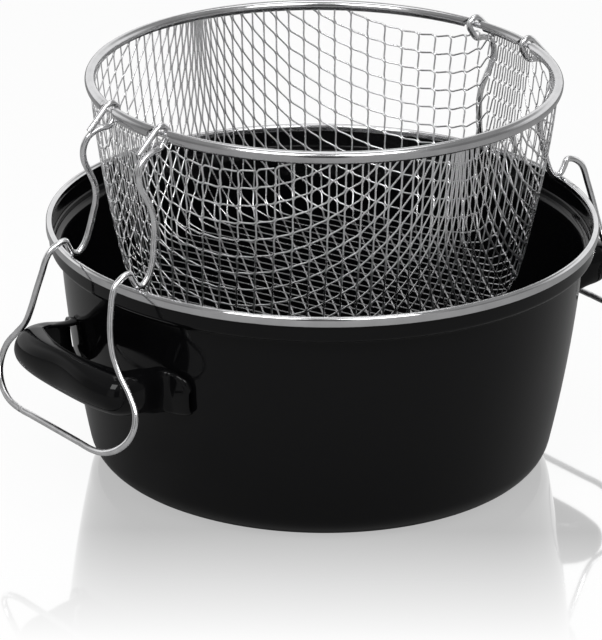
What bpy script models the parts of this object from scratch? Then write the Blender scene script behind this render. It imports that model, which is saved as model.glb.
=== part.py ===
"""Deep fry pot with a drawn expanded-metal basket, hung on the rim by its two wire bails.

The pot stands on the plane z = 0 with its axis on Z. Its two side handles and the two
bails lie along X. The basket is drawn in the draining position, hooked over the rim.
"""

import math

import bmesh
import bpy
from mathutils import Matrix, Vector

MM = 0.001

# Pot body, drawn from enamelled sheet
POT_HEIGHT = 115.5 * MM
POT_SHEET = 1.2 * MM
BASE_RADIUS = 92.0 * MM
BASE_FILLET = 15.0 * MM
COLLAR_RADIUS = 124.6 * MM
COLLAR_FLARE = 0.5 * MM
SHOULDER_STEP = 5.2 * MM
SHOULDER_RADIUS = 2.5 * MM
COLLAR_HEIGHT = 15.0 * MM
SHOULDER_HEIGHT = POT_HEIGHT - COLLAR_HEIGHT
WALL_TOP_RADIUS = COLLAR_RADIUS - SHOULDER_STEP
WALL_LEAN = math.radians(12.0)
WALL_LEAN_TOP = math.radians(4.5)
POT_STEPS = 56

# Steel trim rolled over the rim
TRIM_SHEET = 0.6 * MM
TRIM_OUTER_LEG = 4.3 * MM
TRIM_INNER_LEG = 3.4 * MM
SEAT_GAP = 0.3 * MM

# Side handles, pressed straps: plan of the upper edge
HANDLE_STANDOFF = 22.9 * MM
HANDLE_FACE_RADIUS = 99.0 * MM
HANDLE_CORNER = 6.5 * MM
HANDLE_HALF_SPAN = 36.0 * MM
HANDLE_FLARE = 5.0 * MM
HANDLE_FOOT_SPAN = 47.0 * MM

# Side handles: the strap's section at its middle, corner, arm, neck and foot
HANDLE_HEIGHT = 72.8 * MM
HANDLE_CORNER_RISE = -0.4 * MM
HANDLE_ARM_RISE = -0.7 * MM
HANDLE_NECK_RISE = -3.2 * MM
HANDLE_FOOT_RISE = -4.2 * MM
HANDLE_TIP_RISE = -7.0 * MM
HANDLE_WIDTH = 17.0 * MM
HANDLE_CORNER_WIDTH = 16.4 * MM
HANDLE_ARM_WIDTH = 16.2 * MM
HANDLE_NECK_WIDTH = 17.6 * MM
HANDLE_FOOT_WIDTH = 18.2 * MM
HANDLE_TIP_WIDTH = 11.0 * MM
HANDLE_CROWN = 4.2 * MM
HANDLE_CORNER_CROWN = 8.4 * MM
HANDLE_ARM_CROWN = 4.4 * MM
HANDLE_FOOT_CROWN = 0.7 * MM
HANDLE_LIP = 2.2 * MM
HANDLE_CORNER_LIP = 4.2 * MM
HANDLE_ARM_LIP = 5.4 * MM
HANDLE_FOOT_LIP = 2.4 * MM
HANDLE_SHEET = 1.4 * MM
FACE_SHARES = (-0.92, -0.5, 0.5, 0.92)

# Basket rim
RING_INSET = 19.2 * MM
RING_RADIUS = COLLAR_RADIUS - RING_INSET
RING_HEIGHT = 181.8 * MM
RING_WIRE = 2.6 * MM
RING_STEPS = 48
BAND_SHEET = 0.5 * MM
BAND_HEIGHT = 6.8 * MM
BAND_STEP = math.radians(7.5)
NOTCH_RADIUS = 7.6 * MM

# Basket net, one sheet of expanded steel drawn to a cup
BASKET_DEPTH = 99.0 * MM
BASKET_TAPER = 26.4 * MM
BASKET_FLOOR_RADIUS = RING_RADIUS - BASKET_TAPER
BASKET_CORNER = 12.0 * MM
BASKET_LEAN_LOW = math.radians(14.0)
BASKET_LEAN_TOP = math.radians(5.0)
NET_PITCH = 17.0 * MM
NET_HALF_ANGLE = math.radians(33.0)
NET_GRAIN = math.radians(-90.0)
NET_REACH_SHARE = 1.6
STRAND_WIDTH = 1.3 * MM
STRAND_THICKNESS = 1.1 * MM
BOND_LENGTH = 2.6 * MM
LONGEST_BOND_SHARE = 0.42
RIM_SNAP_SHARE = 0.22

# Bails, one bent wire each
BAIL_WIRE = 3.0 * MM
EYE_HALF_SPACING = 19.0 * MM
EYE_PLAY = 0.7 * MM
EYE_WRAP = math.radians(215.0)
TAIL_LENGTH = 13.6 * MM
TAIL_SLOPE = math.radians(46.0)
WAVE_REACH = 13.6 * MM
HOOK_HALF_SPACING = 24.7 * MM
HUMP_RISE = 6.6 * MM
DIP_SHARES = (0.82, 1.0)
HUMP_SHARES = (0.55, 0.95)
GRIP_HALF_WIDTH = 51.5 * MM
GRIP_HEIGHT = 47.5 * MM
GRIP_PLAY = 0.5 * MM

# Wave of each leg from the eye to the rim: share of WAVE_REACH outwards, of the way from the
# eye's spacing to the hook's aside, and of the drop from the ring to the pot's rim
WAVE_SHARES = (
    (0.06, 0.00, 0.100), (0.45, 0.13, 0.112), (0.83, 0.25, 0.155), (0.99, 0.38, 0.235), (0.95, 0.45, 0.325),
    (0.71, 0.50, 0.425), (0.51, 0.52, 0.52), (0.46, 0.58, 0.62), (0.54, 0.74, 0.73), (0.63, 0.90, 0.83),
    (0.80, 0.98, 0.93),
)
# Leg from the hump over the rim to the grip: share of the way from the rim's outside to the grip
# outwards, of GRIP_HALF_WIDTH aside, and of the way down from the hump to the grip
LOOP_SHARES = (
    (0.17, 0.485, 0.02), (0.35, 0.495, 0.07), (0.46, 0.52, 0.18), (0.545, 0.56, 0.30), (0.585, 0.615, 0.415),
    (0.58, 0.71, 0.525), (0.58, 0.86, 0.625), (0.62, 0.965, 0.705), (0.70, 1.00, 0.785), (0.81, 0.97, 0.865),
    (0.91, 0.87, 0.935), (0.98, 0.73, 0.98), (1.00, 0.56, 1.0), (1.00, 0.35, 1.0),
)

OVERRUN = 4.0 * MM


# Scene, collections and materials

def clear_scene():
    for obj in list(bpy.data.objects):
        bpy.data.objects.remove(obj, do_unlink=True)


def new_collection(name):
    collection = bpy.data.collections.new(name)
    bpy.context.scene.collection.children.link(collection)
    return collection


def new_material(name, color, roughness, metallic):
    material = bpy.data.materials.new(name)
    material.use_nodes = True
    shader = material.node_tree.nodes["Principled BSDF"]
    shader.inputs["Base Color"].default_value = (*color, 1.0)
    shader.inputs["Roughness"].default_value = roughness
    shader.inputs["Metallic"].default_value = metallic
    return material


def add_object(name, data, collection, material=None):
    obj = bpy.data.objects.new(name, data)
    collection.objects.link(obj)
    if material is not None:
        obj.data.materials.append(material)
    return obj


def add_cutter(name, data, collection):
    obj = add_object(name, data, collection)
    obj.hide_render = True
    obj.display_type = "WIRE"
    return obj


def smooth(obj, angle=math.radians(35.0)):
    obj.data.shade_smooth()
    obj.data.set_sharp_from_angle(angle=angle)


# Outlines in the plane of the axis, as (radius, height)

def arc(center, radius, start, end, steps):
    """Points on a circle from one angle to another, both ends included."""
    angles = [start + (end - start) * k / steps for k in range(steps + 1)]
    return [(center[0] + radius * math.cos(a), center[1] + radius * math.sin(a)) for a in angles]


def leaning_curve(low, high, lean_low, lean_high, steps):
    """A cubic from the low point to the high one, leaning out by the given angle at each end."""
    reach = math.dist(low, high) / 3
    near = (low[0] + reach * math.sin(lean_low), low[1] + reach * math.cos(lean_low))
    far = (high[0] - reach * math.sin(lean_high), high[1] - reach * math.cos(lean_high))
    points = []
    for k in range(steps + 1):
        t = k / steps
        weights = ((1 - t) ** 3, 3 * t * (1 - t) ** 2, 3 * t * t * (1 - t), t ** 3)
        corners = (low, near, far, high)
        points.append(tuple(sum(w * c[n] for w, c in zip(weights, corners)) for n in (0, 1)))
    return points


def rim_edge_height():
    """Top of the enamelled sheet, inside the steel trim."""
    return POT_HEIGHT - TRIM_SHEET - SEAT_GAP


def pot_wall(steps=4):
    """Outside of the wall, from the end of the base fillet up to the shoulder."""
    angle = -WALL_LEAN
    low = (BASE_RADIUS + BASE_FILLET * math.cos(angle), BASE_FILLET + BASE_FILLET * math.sin(angle))
    high = (WALL_TOP_RADIUS, SHOULDER_HEIGHT)
    return leaning_curve(low, high, WALL_LEAN, WALL_LEAN_TOP, steps)


def pot_outline():
    """Outside of the pot from the rim edge down to the middle of the base."""
    shoulder_top = SHOULDER_HEIGHT + 2 * SHOULDER_RADIUS
    outer = arc((COLLAR_RADIUS - SHOULDER_RADIUS, shoulder_top), SHOULDER_RADIUS, 0.0, -math.pi / 2, 2)
    inner = arc((WALL_TOP_RADIUS + SHOULDER_RADIUS, SHOULDER_HEIGHT), SHOULDER_RADIUS,
                math.pi / 2, math.pi, 2)
    fillet = arc((BASE_RADIUS, BASE_FILLET), BASE_FILLET, -WALL_LEAN, -math.pi / 2, 4)
    wall = pot_wall()[::-1]
    top = (COLLAR_RADIUS + COLLAR_FLARE, rim_edge_height())
    return [top] + outer + inner[:-1] + wall[:-1] + fillet + [(0.0, 0.0)]


def turned(name, outline, steps, collection, material=None, closed=False):
    """An outline turned about Z by a Screw modifier."""
    mesh = bpy.data.meshes.new(name)
    edges = [(k, k + 1) for k in range(len(outline) - 1)]
    if closed:
        edges.append((len(outline) - 1, 0))
    mesh.from_pydata([(r, 0.0, z) for r, z in outline], edges, [])
    obj = add_object(name, mesh, collection, material)
    screw = obj.modifiers.new("Turn", "SCREW")
    screw.steps = steps
    screw.render_steps = steps
    screw.use_merge_vertices = True
    screw.merge_threshold = 0.1 * MM
    screw.use_smooth_shade = True
    return obj


# Pot

def make_pot_shell(collection, material):
    obj = turned("pot_shell", pot_outline(), POT_STEPS, collection, material)
    wall = obj.modifiers.new("Sheet", "SOLIDIFY")
    wall.thickness = POT_SHEET
    wall.offset = -1.0
    wall.use_even_offset = True
    return obj


def trim_outer_radius():
    return COLLAR_RADIUS + COLLAR_FLARE + SEAT_GAP + TRIM_SHEET


def trim_inner_radius():
    return COLLAR_RADIUS + COLLAR_FLARE - POT_SHEET - SEAT_GAP - TRIM_SHEET


def make_rim_trim(collection, material):
    """A channel folded over the rim edge, with a rounded crown."""
    outside = trim_outer_radius()
    inside = trim_inner_radius()
    middle = (outside + inside) / 2
    crown = (outside - inside) / 2
    hollow = crown - TRIM_SHEET
    crown_height = POT_HEIGHT - TRIM_SHEET
    cap = [(middle + hollow * math.cos(a), crown_height) for a in (0.0, math.pi)]
    outer_foot = POT_HEIGHT - TRIM_OUTER_LEG
    inner_foot = POT_HEIGHT - TRIM_INNER_LEG
    roll = arc((middle, POT_HEIGHT - crown), crown, 0.0, math.pi, 4)
    outline = [(outside, outer_foot)] + roll + [(inside, inner_foot), (inside + TRIM_SHEET, inner_foot)]
    outline += [cap[1], cap[0], (outside - TRIM_SHEET, outer_foot)]
    return turned("rim_trim", outline[::-1], POT_STEPS, collection, material, closed=True)


def wall_radius(height):
    """Radius of the wall's outside at a height."""
    wall = pot_wall()
    for low, high in zip(wall, wall[1:]):
        if height <= high[1] or high is wall[-1]:
            share = (height - low[1]) / (high[1] - low[1])
            return low[0] + share * (high[0] - low[0])


def handle_reach():
    """Distance of the strap's upper edge from the pot's axis at the middle of the face."""
    return WALL_TOP_RADIUS + HANDLE_STANDOFF


def handle_path():
    """Plan of one half of a strap, from its foot to the middle, as five runs of points.

    The foot follows the wall, a flare turns it out into the arm, and the arm turns through the
    corner into the bowed face. Each arc is tangent to the next run.
    """
    foot_radius = wall_radius(HANDLE_HEIGHT) + 2 * SEAT_GAP + HANDLE_SHEET
    flare_aside = HANDLE_HALF_SPAN + HANDLE_FLARE
    flare_distance = foot_radius + HANDLE_FLARE
    flare = Vector((math.sqrt(flare_distance ** 2 - flare_aside ** 2), flare_aside))
    landing = math.asin(flare_aside / flare_distance)
    tip = math.asin(HANDLE_FOOT_SPAN / foot_radius)

    face = Vector((handle_reach() - HANDLE_FACE_RADIUS, 0.0))
    corner_aside = HANDLE_HALF_SPAN - HANDLE_CORNER
    corner_distance = HANDLE_FACE_RADIUS - HANDLE_CORNER
    bend = math.asin(corner_aside / corner_distance)
    corner = face + Vector((corner_distance * math.cos(bend), corner_aside))

    arm = [Vector((flare.x, HANDLE_HALF_SPAN)).lerp(Vector((corner.x, HANDLE_HALF_SPAN)), k / 2) for k in (0, 1, 2)]
    runs = [
        arc((0.0, 0.0), foot_radius, tip, landing, 2),
        arc(flare, HANDLE_FLARE, landing - math.pi, -math.pi / 2, 3),
        arm,
        arc(corner, HANDLE_CORNER, math.pi / 2, bend, 4),
        arc(face, HANDLE_FACE_RADIUS, bend, 0.0, 3),
    ]
    return [[Vector(point) for point in run] for run in runs]


def strap_stations():
    """(place, width, rise, crown, lip, share of the wall's lean) for each point of the half strap."""
    tip = (HANDLE_TIP_WIDTH, HANDLE_TIP_RISE, HANDLE_FOOT_CROWN, HANDLE_FOOT_LIP, 1.0)
    foot = (HANDLE_FOOT_WIDTH, HANDLE_FOOT_RISE, HANDLE_FOOT_CROWN, HANDLE_FOOT_LIP, 1.0)
    neck = (HANDLE_NECK_WIDTH, HANDLE_NECK_RISE, HANDLE_FOOT_CROWN, HANDLE_ARM_LIP, 0.0)
    arm = (HANDLE_ARM_WIDTH, HANDLE_ARM_RISE, HANDLE_ARM_CROWN, HANDLE_ARM_LIP, 0.0)
    corner = (HANDLE_CORNER_WIDTH, HANDLE_CORNER_RISE, HANDLE_CORNER_CROWN, HANDLE_CORNER_LIP, 0.0)
    middle = (HANDLE_WIDTH, 0.0, HANDLE_CROWN, HANDLE_LIP, 0.0)
    ends = (tip, foot, neck, arm, corner, middle)
    stations = []
    for run, start, end in zip(handle_path(), ends, ends[1:]):
        for k in range(1 if stations else 0, len(run)):
            t = k / (len(run) - 1)
            ease = t * t * (3 - 2 * t)
            stations.append((run[k], *(a + (b - a) * ease for a, b in zip(start, end))))
    return stations


def strap_section(width, rise, crown, lip, lean):
    """Points across the strap as (distance out from its edges, height), with lips turned in at both."""
    middle = HANDLE_HEIGHT + rise
    low, high = middle - width / 2, middle + width / 2
    face = [(crown * math.sqrt(1 - share ** 2), middle + share * width / 2) for share in FACE_SHARES]
    section = [(-lip, low), (0.0, low)] + face + [(0.0, high), (-lip, high)]
    return [(out + lean * (wall_radius(z) - wall_radius(HANDLE_HEIGHT)), z) for out, z in section]


def handle_surface():
    """Outer surface of one strap as a grid of points, one row for each station along its plan."""
    stations = strap_stations()
    half = []
    for k, (place, *section) in enumerate(stations):
        before = stations[max(k - 1, 0)][0]
        after = stations[k + 1][0] if k + 1 < len(stations) else Vector((place.x, -before.y))
        ahead = (after - before).normalized()
        out = Vector((-ahead.y, ahead.x))
        half.append([(place.x + out.x * d, place.y + out.y * d, z) for d, z in strap_section(*section)])
    return half + [[(x, -y, z) for x, y, z in row] for row in half[-2::-1]]


def make_handle(name, side, collection, cutters, material):
    """A pressed strap, cut where its feet meet the wall."""
    rows = handle_surface()
    across = len(rows[0])
    mesh = bpy.data.meshes.new(name)
    faces = []
    for i in range(len(rows) - 1):
        for j in range(across - 1):
            a = i * across + j
            faces.append((a, a + 1, a + across + 1, a + across))
    mesh.from_pydata([(side * x, y, z) for row in rows for x, y, z in row], [], faces)
    tidy = bmesh.new()
    tidy.from_mesh(mesh)
    bmesh.ops.recalc_face_normals(tidy, faces=tidy.faces)
    outermost = max(tidy.faces, key=lambda face: face.calc_center_median().x * side)
    if outermost.normal.x * side < 0:
        bmesh.ops.reverse_faces(tidy, faces=tidy.faces)
    tidy.to_mesh(mesh)
    tidy.free()
    obj = add_object(name, mesh, collection, material)
    sheet = obj.modifiers.new("Sheet", "SOLIDIFY")
    sheet.thickness = HANDLE_SHEET
    sheet.offset = -1.0
    trim = obj.modifiers.new("Wall", "BOOLEAN")
    trim.operation = "DIFFERENCE"
    trim.object = cutters["wall"]
    smooth(obj)
    return obj


def make_wall_cutter(collection):
    """The space of the pot and its seat gap, which trims the handles' feet."""
    wall = [(r + SEAT_GAP, z) for r, z in pot_wall()[::-1]]
    outline = [(0.0, wall[0][1])] + wall + [(0.0, wall[-1][1])]
    obj = turned("wall_cutter", outline, POT_STEPS, collection)
    obj.hide_render = True
    obj.display_type = "WIRE"
    return obj


# Wires

def make_wire(name, points, diameter, collection, material, origin=(0.0, 0.0, 0.0), cyclic=False):
    """A round wire through the points, which are measured from the origin given."""
    curve = bpy.data.curves.new(name, "CURVE")
    curve.dimensions = "3D"
    curve.bevel_depth = diameter / 2
    curve.bevel_resolution = 2
    curve.use_fill_caps = not cyclic
    spline = curve.splines.new("POLY")
    spline.points.add(len(points) - 1)
    for target, point in zip(spline.points, points):
        target.co = (*point, 1.0)
    spline.use_cyclic_u = cyclic
    obj = add_object(name, curve, collection, material)
    obj.location = origin
    return obj


def make_ring(collection, material):
    angles = [2 * math.pi * k / RING_STEPS for k in range(RING_STEPS)]
    points = [(RING_RADIUS * math.cos(a), RING_RADIUS * math.sin(a), RING_HEIGHT) for a in angles]
    return make_wire("basket_ring", points, RING_WIRE, collection, material, cyclic=True)


# Rolled bands over the ring wire

def eye_angle():
    return math.asin(EYE_HALF_SPACING / RING_RADIUS)


def band_section():
    """A channel over the ring wire and the edge of the net, open below: (radius, height)."""
    hollow = RING_WIRE / 2 + SEAT_GAP
    outer = hollow + BAND_SHEET
    foot = RING_HEIGHT + outer - BAND_HEIGHT
    outside = [(RING_RADIUS + outer, foot)] + arc((RING_RADIUS, RING_HEIGHT), outer, 0.0, math.pi, 4)
    inside = [(RING_RADIUS - hollow, foot)] + arc((RING_RADIUS, RING_HEIGHT), hollow, math.pi, 0.0, 4)
    return outside + [(RING_RADIUS - outer, foot)] + inside + [(RING_RADIUS + hollow, foot)]


def make_band(name, start, end, collection, cutters, material):
    """The channel swept from one notch to the next, its ends rounded off by the notches."""
    mesh = bpy.data.meshes.new(name)
    sweep = bmesh.new()
    section = [sweep.verts.new((r * math.cos(start), r * math.sin(start), z)) for r, z in band_section()]
    face = sweep.faces.new(section)
    steps = max(3, round((end - start) / BAND_STEP))
    geometry = section + list(face.edges) + [face]
    bmesh.ops.spin(sweep, geom=geometry, cent=(0.0, 0.0, 0.0), axis=(0.0, 0.0, 1.0),
                   angle=end - start, steps=steps, use_merge=False)
    bmesh.ops.recalc_face_normals(sweep, faces=sweep.faces)
    sweep.to_mesh(mesh)
    sweep.free()
    obj = add_object(name, mesh, collection, material)
    for notch in cutters["notches"]:
        turn = math.atan2(notch.location.y, notch.location.x) % (2 * math.pi)
        if min(abs(turn - start % (2 * math.pi)), abs(turn - end % (2 * math.pi))) < BAND_STEP:
            cut = obj.modifiers.new(notch.name, "BOOLEAN")
            cut.operation = "DIFFERENCE"
            cut.object = notch
    smooth(obj)
    return obj


def make_notch_cutters(collection):
    """Round notches in the band, one round each bail eye."""
    foot = RING_HEIGHT + RING_WIRE / 2 + SEAT_GAP + BAND_SHEET - BAND_HEIGHT
    depth = RING_WIRE + 2 * OVERRUN
    notches = []
    for side in (0.0, math.pi):
        for sign in (-1, 1):
            angle = side + sign * eye_angle()
            mesh = bpy.data.meshes.new("notch_cutter")
            plug = bmesh.new()
            bmesh.ops.create_cone(plug, cap_ends=True, segments=20, radius1=NOTCH_RADIUS,
                                  radius2=NOTCH_RADIUS, depth=depth, matrix=Matrix.Rotation(math.pi / 2, 4, "Y"))
            plug.to_mesh(mesh)
            plug.free()
            obj = add_cutter("notch_cutter", mesh, collection)
            obj.location = (RING_RADIUS * math.cos(angle), RING_RADIUS * math.sin(angle), foot)
            obj.rotation_euler = (0.0, 0.0, angle)
            notches.append(obj)
    return notches


def make_bands(collection, cutters, material):
    eye = eye_angle()
    spans = {
        "rim_band_right": (-eye, eye),
        "rim_band_back": (eye, math.pi - eye),
        "rim_band_left": (math.pi - eye, math.pi + eye),
        "rim_band_front": (math.pi + eye, 2 * math.pi - eye),
    }
    return [make_band(name, *span, collection, cutters, material) for name, span in spans.items()]


# Basket net

def net_top():
    return RING_HEIGHT - RING_WIRE / 2 - SEAT_GAP


def basket_bottom():
    return RING_HEIGHT + RING_WIRE / 2 + SEAT_GAP + BAND_SHEET - BASKET_DEPTH


def net_outline():
    """Middle of the sheet from the centre of the floor up to the ring wire."""
    floor = basket_bottom() + STRAND_THICKNESS / 2
    corner = arc((BASKET_FLOOR_RADIUS, floor + BASKET_CORNER), BASKET_CORNER,
                 -math.pi / 2, -BASKET_LEAN_LOW, 8)
    wall = leaning_curve(corner[-1], (RING_RADIUS, net_top()), BASKET_LEAN_LOW, BASKET_LEAN_TOP, 24)
    return [(0.0, floor)] + corner + wall[1:]


class Cup:
    """The drawn shape as a surface: distance along the outline from the centre, and turn about Z."""

    def __init__(self, outline):
        self.outline = outline
        self.run = [0.0]
        for a, b in zip(outline, outline[1:]):
            self.run.append(self.run[-1] + math.dist(a, b))
        self.top = self.run[-1]

    def at(self, distance):
        """(radius, height) at a distance along the outline, carried on straight past its end."""
        k = 1
        while k < len(self.run) - 1 and self.run[k] < distance:
            k += 1
        t = (distance - self.run[k - 1]) / (self.run[k] - self.run[k - 1])
        a, b = self.outline[k - 1], self.outline[k]
        return a[0] + t * (b[0] - a[0]), a[1] + t * (b[1] - a[1])

    def point(self, distance, turn):
        radius, height = self.at(distance)
        return Vector((radius * math.cos(turn), radius * math.sin(turn), height))

    def normal(self, distance, turn):
        step = STRAND_THICKNESS
        low = self.at(max(0.0, distance - step))
        high = self.at(distance + step)
        along = Vector((high[0] - low[0], high[1] - low[1])).normalized()
        return Vector((along.y * math.cos(turn), along.y * math.sin(turn), -along.x))

    def nearest(self, point):
        """(distance, turn) of the surface point in the same half plane that lies closest."""
        radius = math.hypot(point.x, point.y)
        best = None
        for k in range(1, len(self.run)):
            a, b = self.outline[k - 1], self.outline[k]
            side = (b[0] - a[0], b[1] - a[1])
            length = math.hypot(*side)
            t = ((radius - a[0]) * side[0] + (point.z - a[1]) * side[1]) / length ** 2
            t = max(0.0, t) if k == len(self.run) - 1 else max(0.0, min(1.0, t))
            gap = math.hypot(radius - a[0] - t * side[0], point.z - a[1] - t * side[1])
            if best is None or gap < best[0]:
                best = (gap, self.run[k - 1] + t * length)
        return best[1], math.atan2(point.y, point.x)


def fourth_corner(cup, start, left, right):
    """The far corner of a cell: on the cup, one pitch from each of its two side corners."""
    distance, turn = cup.nearest(left + right - start)
    small = NET_PITCH / 1000
    for _ in range(8):
        here = cup.point(distance, turn)
        miss = [(here - left).length - NET_PITCH, (here - right).length - NET_PITCH]
        up = cup.point(distance + small, turn)
        radius = max(math.hypot(here.x, here.y), NET_PITCH)
        round_ = cup.point(distance, turn + small / radius)
        slope = [[((p - q).length - NET_PITCH - m) / small for p in (up, round_)]
                 for q, m in ((left, miss[0]), (right, miss[1]))]
        det = slope[0][0] * slope[1][1] - slope[0][1] * slope[1][0]
        if abs(det) < small:
            break
        distance -= (miss[0] * slope[1][1] - miss[1] * slope[0][1]) / det
        turn -= (slope[0][0] * miss[1] - slope[1][0] * miss[0]) / det / radius
    return distance, turn


def drape_net(cup):
    """Where each bond of the sheet lands when strands keep their length and only the angles give.

    A bond is numbered (i, j) along the two strand directions. The two strands through the
    middle run straight up the wall, and every other bond closes a cell of four equal sides.
    """
    count = math.ceil(NET_REACH_SHARE * cup.top / NET_PITCH)
    bonds = {}
    for k in range(-count, count + 1):
        flip = 0.0 if k >= 0 else math.pi
        bonds[k, 0] = (abs(k) * NET_PITCH, NET_GRAIN + NET_HALF_ANGLE + flip)
        bonds[0, k] = (abs(k) * NET_PITCH, NET_GRAIN - NET_HALF_ANGLE + flip)
    for across in (1, -1):
        for i in range(1, count + 1):
            for j in range(1, count + 1):
                corners = [bonds.get((a, across * b)) for a, b in ((i - 1, j - 1), (i - 1, j), (i, j - 1))]
                if None in corners or min(corners[1][0], corners[2][0]) > cup.top + NET_PITCH:
                    continue
                distance, turn = fourth_corner(cup, *(cup.point(*corner) for corner in corners))
                bonds[i, across * j] = (distance, turn)
                bonds[-i, -across * j] = (distance, turn + math.pi)
    return bonds


def crosses_bail_eye(start, end):
    """Whether a strand would pass where a bail's wire goes under the ring."""
    depth = WAVE_SHARES[0][2] * (RING_HEIGHT - POT_HEIGHT) + BAIL_WIRE
    clear = (BAIL_WIRE + STRAND_WIDTH) / 2 + SEAT_GAP
    for k in range(9):
        point = start.lerp(end, k / 8)
        if abs(abs(point.y) - EYE_HALF_SPACING) < clear and point.z > RING_HEIGHT - depth:
            return True
    return False


class Junction:
    """A bond of the net, with the strands that leave it and the corners between them."""

    def __init__(self, center, normal):
        self.center = center
        self.normal = normal
        self.strands = []
        self.corners = []

    def sort(self):
        first = self.normal.orthogonal().normalized()
        second = self.normal.cross(first)
        for strand in self.strands:
            toward = strand["target"] - self.center
            toward -= toward.dot(self.normal) * self.normal
            strand["toward"] = toward.normalized()
            strand["angle"] = math.atan2(toward.dot(second), toward.dot(first))
        self.strands.sort(key=lambda strand: strand["angle"])

    def shape(self):
        """Sets the corner that follows each strand, counted counterclockwise, none above the net's edge."""
        self.sort()
        half = STRAND_WIDTH / 2
        if len(self.strands) == 1:
            side = self.normal.cross(self.strands[0]["toward"]) * half
            self.corners = [self.center + side, self.center - side]
        for k, strand in enumerate(self.strands if len(self.strands) > 1 else []):
            after = self.strands[(k + 1) % len(self.strands)]
            gap = (after["angle"] - strand["angle"]) % (2 * math.pi)
            bisector = Matrix.Rotation(gap / 2, 3, self.normal) @ strand["toward"]
            reach = half / math.sin(gap / 2)
            if strand["sign"] == after["sign"]:
                reach = min(reach + BOND_LENGTH / 2, LONGEST_BOND_SHARE * NET_PITCH)
            self.corners.append(self.center + bisector * reach)
        for corner in self.corners:
            corner.z = min(corner.z, net_top())

    def sides_of(self, number):
        """(left, right) corners of a strand, looking out from the bond."""
        return number, (number - 1) % len(self.corners)


def join_strands(cup, bonds):
    """Bonds inside the rim with their strands; a strand that crosses the rim ends at it."""
    snap = RIM_SNAP_SHARE * NET_PITCH
    places = {}
    for key, (distance, turn) in bonds.items():
        if distance < cup.top + snap:
            places[key] = (min(distance, cup.top) if distance < cup.top - snap else cup.top, turn)
    junctions = {key: Junction(cup.point(*place), cup.normal(*place)) for key, place in places.items()}
    ends = 0
    for key, place in places.items():
        for step, sign in (((1, 0), 1), ((0, 1), 1), ((-1, 0), -1), ((0, -1), -1)):
            other = (key[0] + step[0], key[1] + step[1])
            if other in places:
                if place[0] == cup.top and places[other][0] == cup.top:
                    continue
                target = junctions[other].center
                if not crosses_bail_eye(junctions[key].center, target):
                    junctions[key].strands.append({"target": target, "sign": sign, "other": other})
            elif other in bonds and place[0] < cup.top:
                far = bonds[other]
                share = (cup.top - place[0]) / (far[0] - place[0])
                delta = (far[1] - place[1] + math.pi) % (2 * math.pi) - math.pi
                end = cup.point(cup.top, place[1] + delta * share)
                if crosses_bail_eye(junctions[key].center, end):
                    continue
                ends += 1
                junctions["end", ends] = stub = Junction(end, cup.normal(cup.top, place[1] + delta * share))
                stub.strands.append({"target": junctions[key].center, "sign": -sign, "other": key})
                junctions[key].strands.append({"target": end, "sign": sign, "other": ("end", ends)})
    return {key: junction for key, junction in junctions.items() if junction.strands}


def make_net(collection, material):
    """The drawn sheet: flat strands that meet at bonds, as one closed body."""
    cup = Cup(net_outline())
    junctions = join_strands(cup, drape_net(cup))
    mesh = bpy.data.meshes.new("basket_net")
    net = bmesh.new()
    for junction in junctions.values():
        junction.shape()
        lift = junction.normal * STRAND_THICKNESS / 2
        junction.front = [net.verts.new(corner + lift) for corner in junction.corners]
        junction.back = [net.verts.new(corner - lift) for corner in junction.corners]
        if len(junction.strands) > 2:
            net.faces.new(junction.front)
            net.faces.new(junction.back[::-1])
        if len(junction.strands) == 1:
            net.faces.new((junction.front[0], junction.back[0], junction.back[1], junction.front[1]))
    done = set()
    for key, junction in junctions.items():
        for number, strand in enumerate(junction.strands):
            other = strand["other"]
            if (other, key) in done or (key, other) in done:
                continue
            done.add((key, other))
            partner = junctions[other]
            match = [k for k, back in enumerate(partner.strands) if back["other"] == key][0]
            left, right = junction.sides_of(number)
            far_left, far_right = partner.sides_of(match)
            near = (junction.front, junction.back)
            far = (partner.front, partner.back)
            net.faces.new((near[0][right], far[0][far_left], far[0][far_right], near[0][left]))
            net.faces.new((near[1][left], far[1][far_right], far[1][far_left], near[1][right]))
            net.faces.new((near[0][left], far[0][far_right], far[1][far_right], near[1][left]))
            net.faces.new((near[1][right], far[1][far_left], far[0][far_left], near[0][right]))
    bmesh.ops.recalc_face_normals(net, faces=net.faces)
    net.to_mesh(mesh)
    net.free()
    return add_object("basket_net", mesh, collection, material)


# Bails

def eye_axis():
    """Reach and height of the line about which a bail swings."""
    return math.sqrt(RING_RADIUS ** 2 - EYE_HALF_SPACING ** 2), RING_HEIGHT


def hook_radius():
    """Distance from the eye to the wire where it clears the inside edge of the rim."""
    axis = eye_axis()
    edge = math.sqrt(trim_inner_radius() ** 2 - HOOK_HALF_SPACING ** 2)
    crown = (trim_outer_radius() - trim_inner_radius()) / 2
    corner = math.hypot(edge + crown - axis[0], POT_HEIGHT - crown - axis[1]) - crown
    return corner - BAIL_WIRE / 2 - SEAT_GAP


def smooth_path(points, steps):
    """A curve through the points: each stretch is a cubic whose ends follow its neighbours."""
    path = []
    for k in range(len(points) - 1):
        before = points[max(k - 1, 0)]
        a, b = points[k], points[k + 1]
        after = points[min(k + 2, len(points) - 1)]
        length = (b - a).length
        leave = (b - before) * length / max((a - before).length + length, length)
        arrive = (after - a) * length / max((after - b).length + length, length)
        for n in range(steps):
            t = n / steps
            path.append(a * (2 * t ** 3 - 3 * t * t + 1) + leave * (t ** 3 - 2 * t * t + t)
                        + b * (3 * t * t - 2 * t ** 3) + arrive * (t ** 3 - t * t))
    return path + [points[-1]]


def grip_reach():
    """Distance of the grip from the pot's axis: the basket lifts out past the handle's face."""
    return handle_reach() + HANDLE_CROWN + BAIL_WIRE / 2 + GRIP_PLAY


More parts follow.
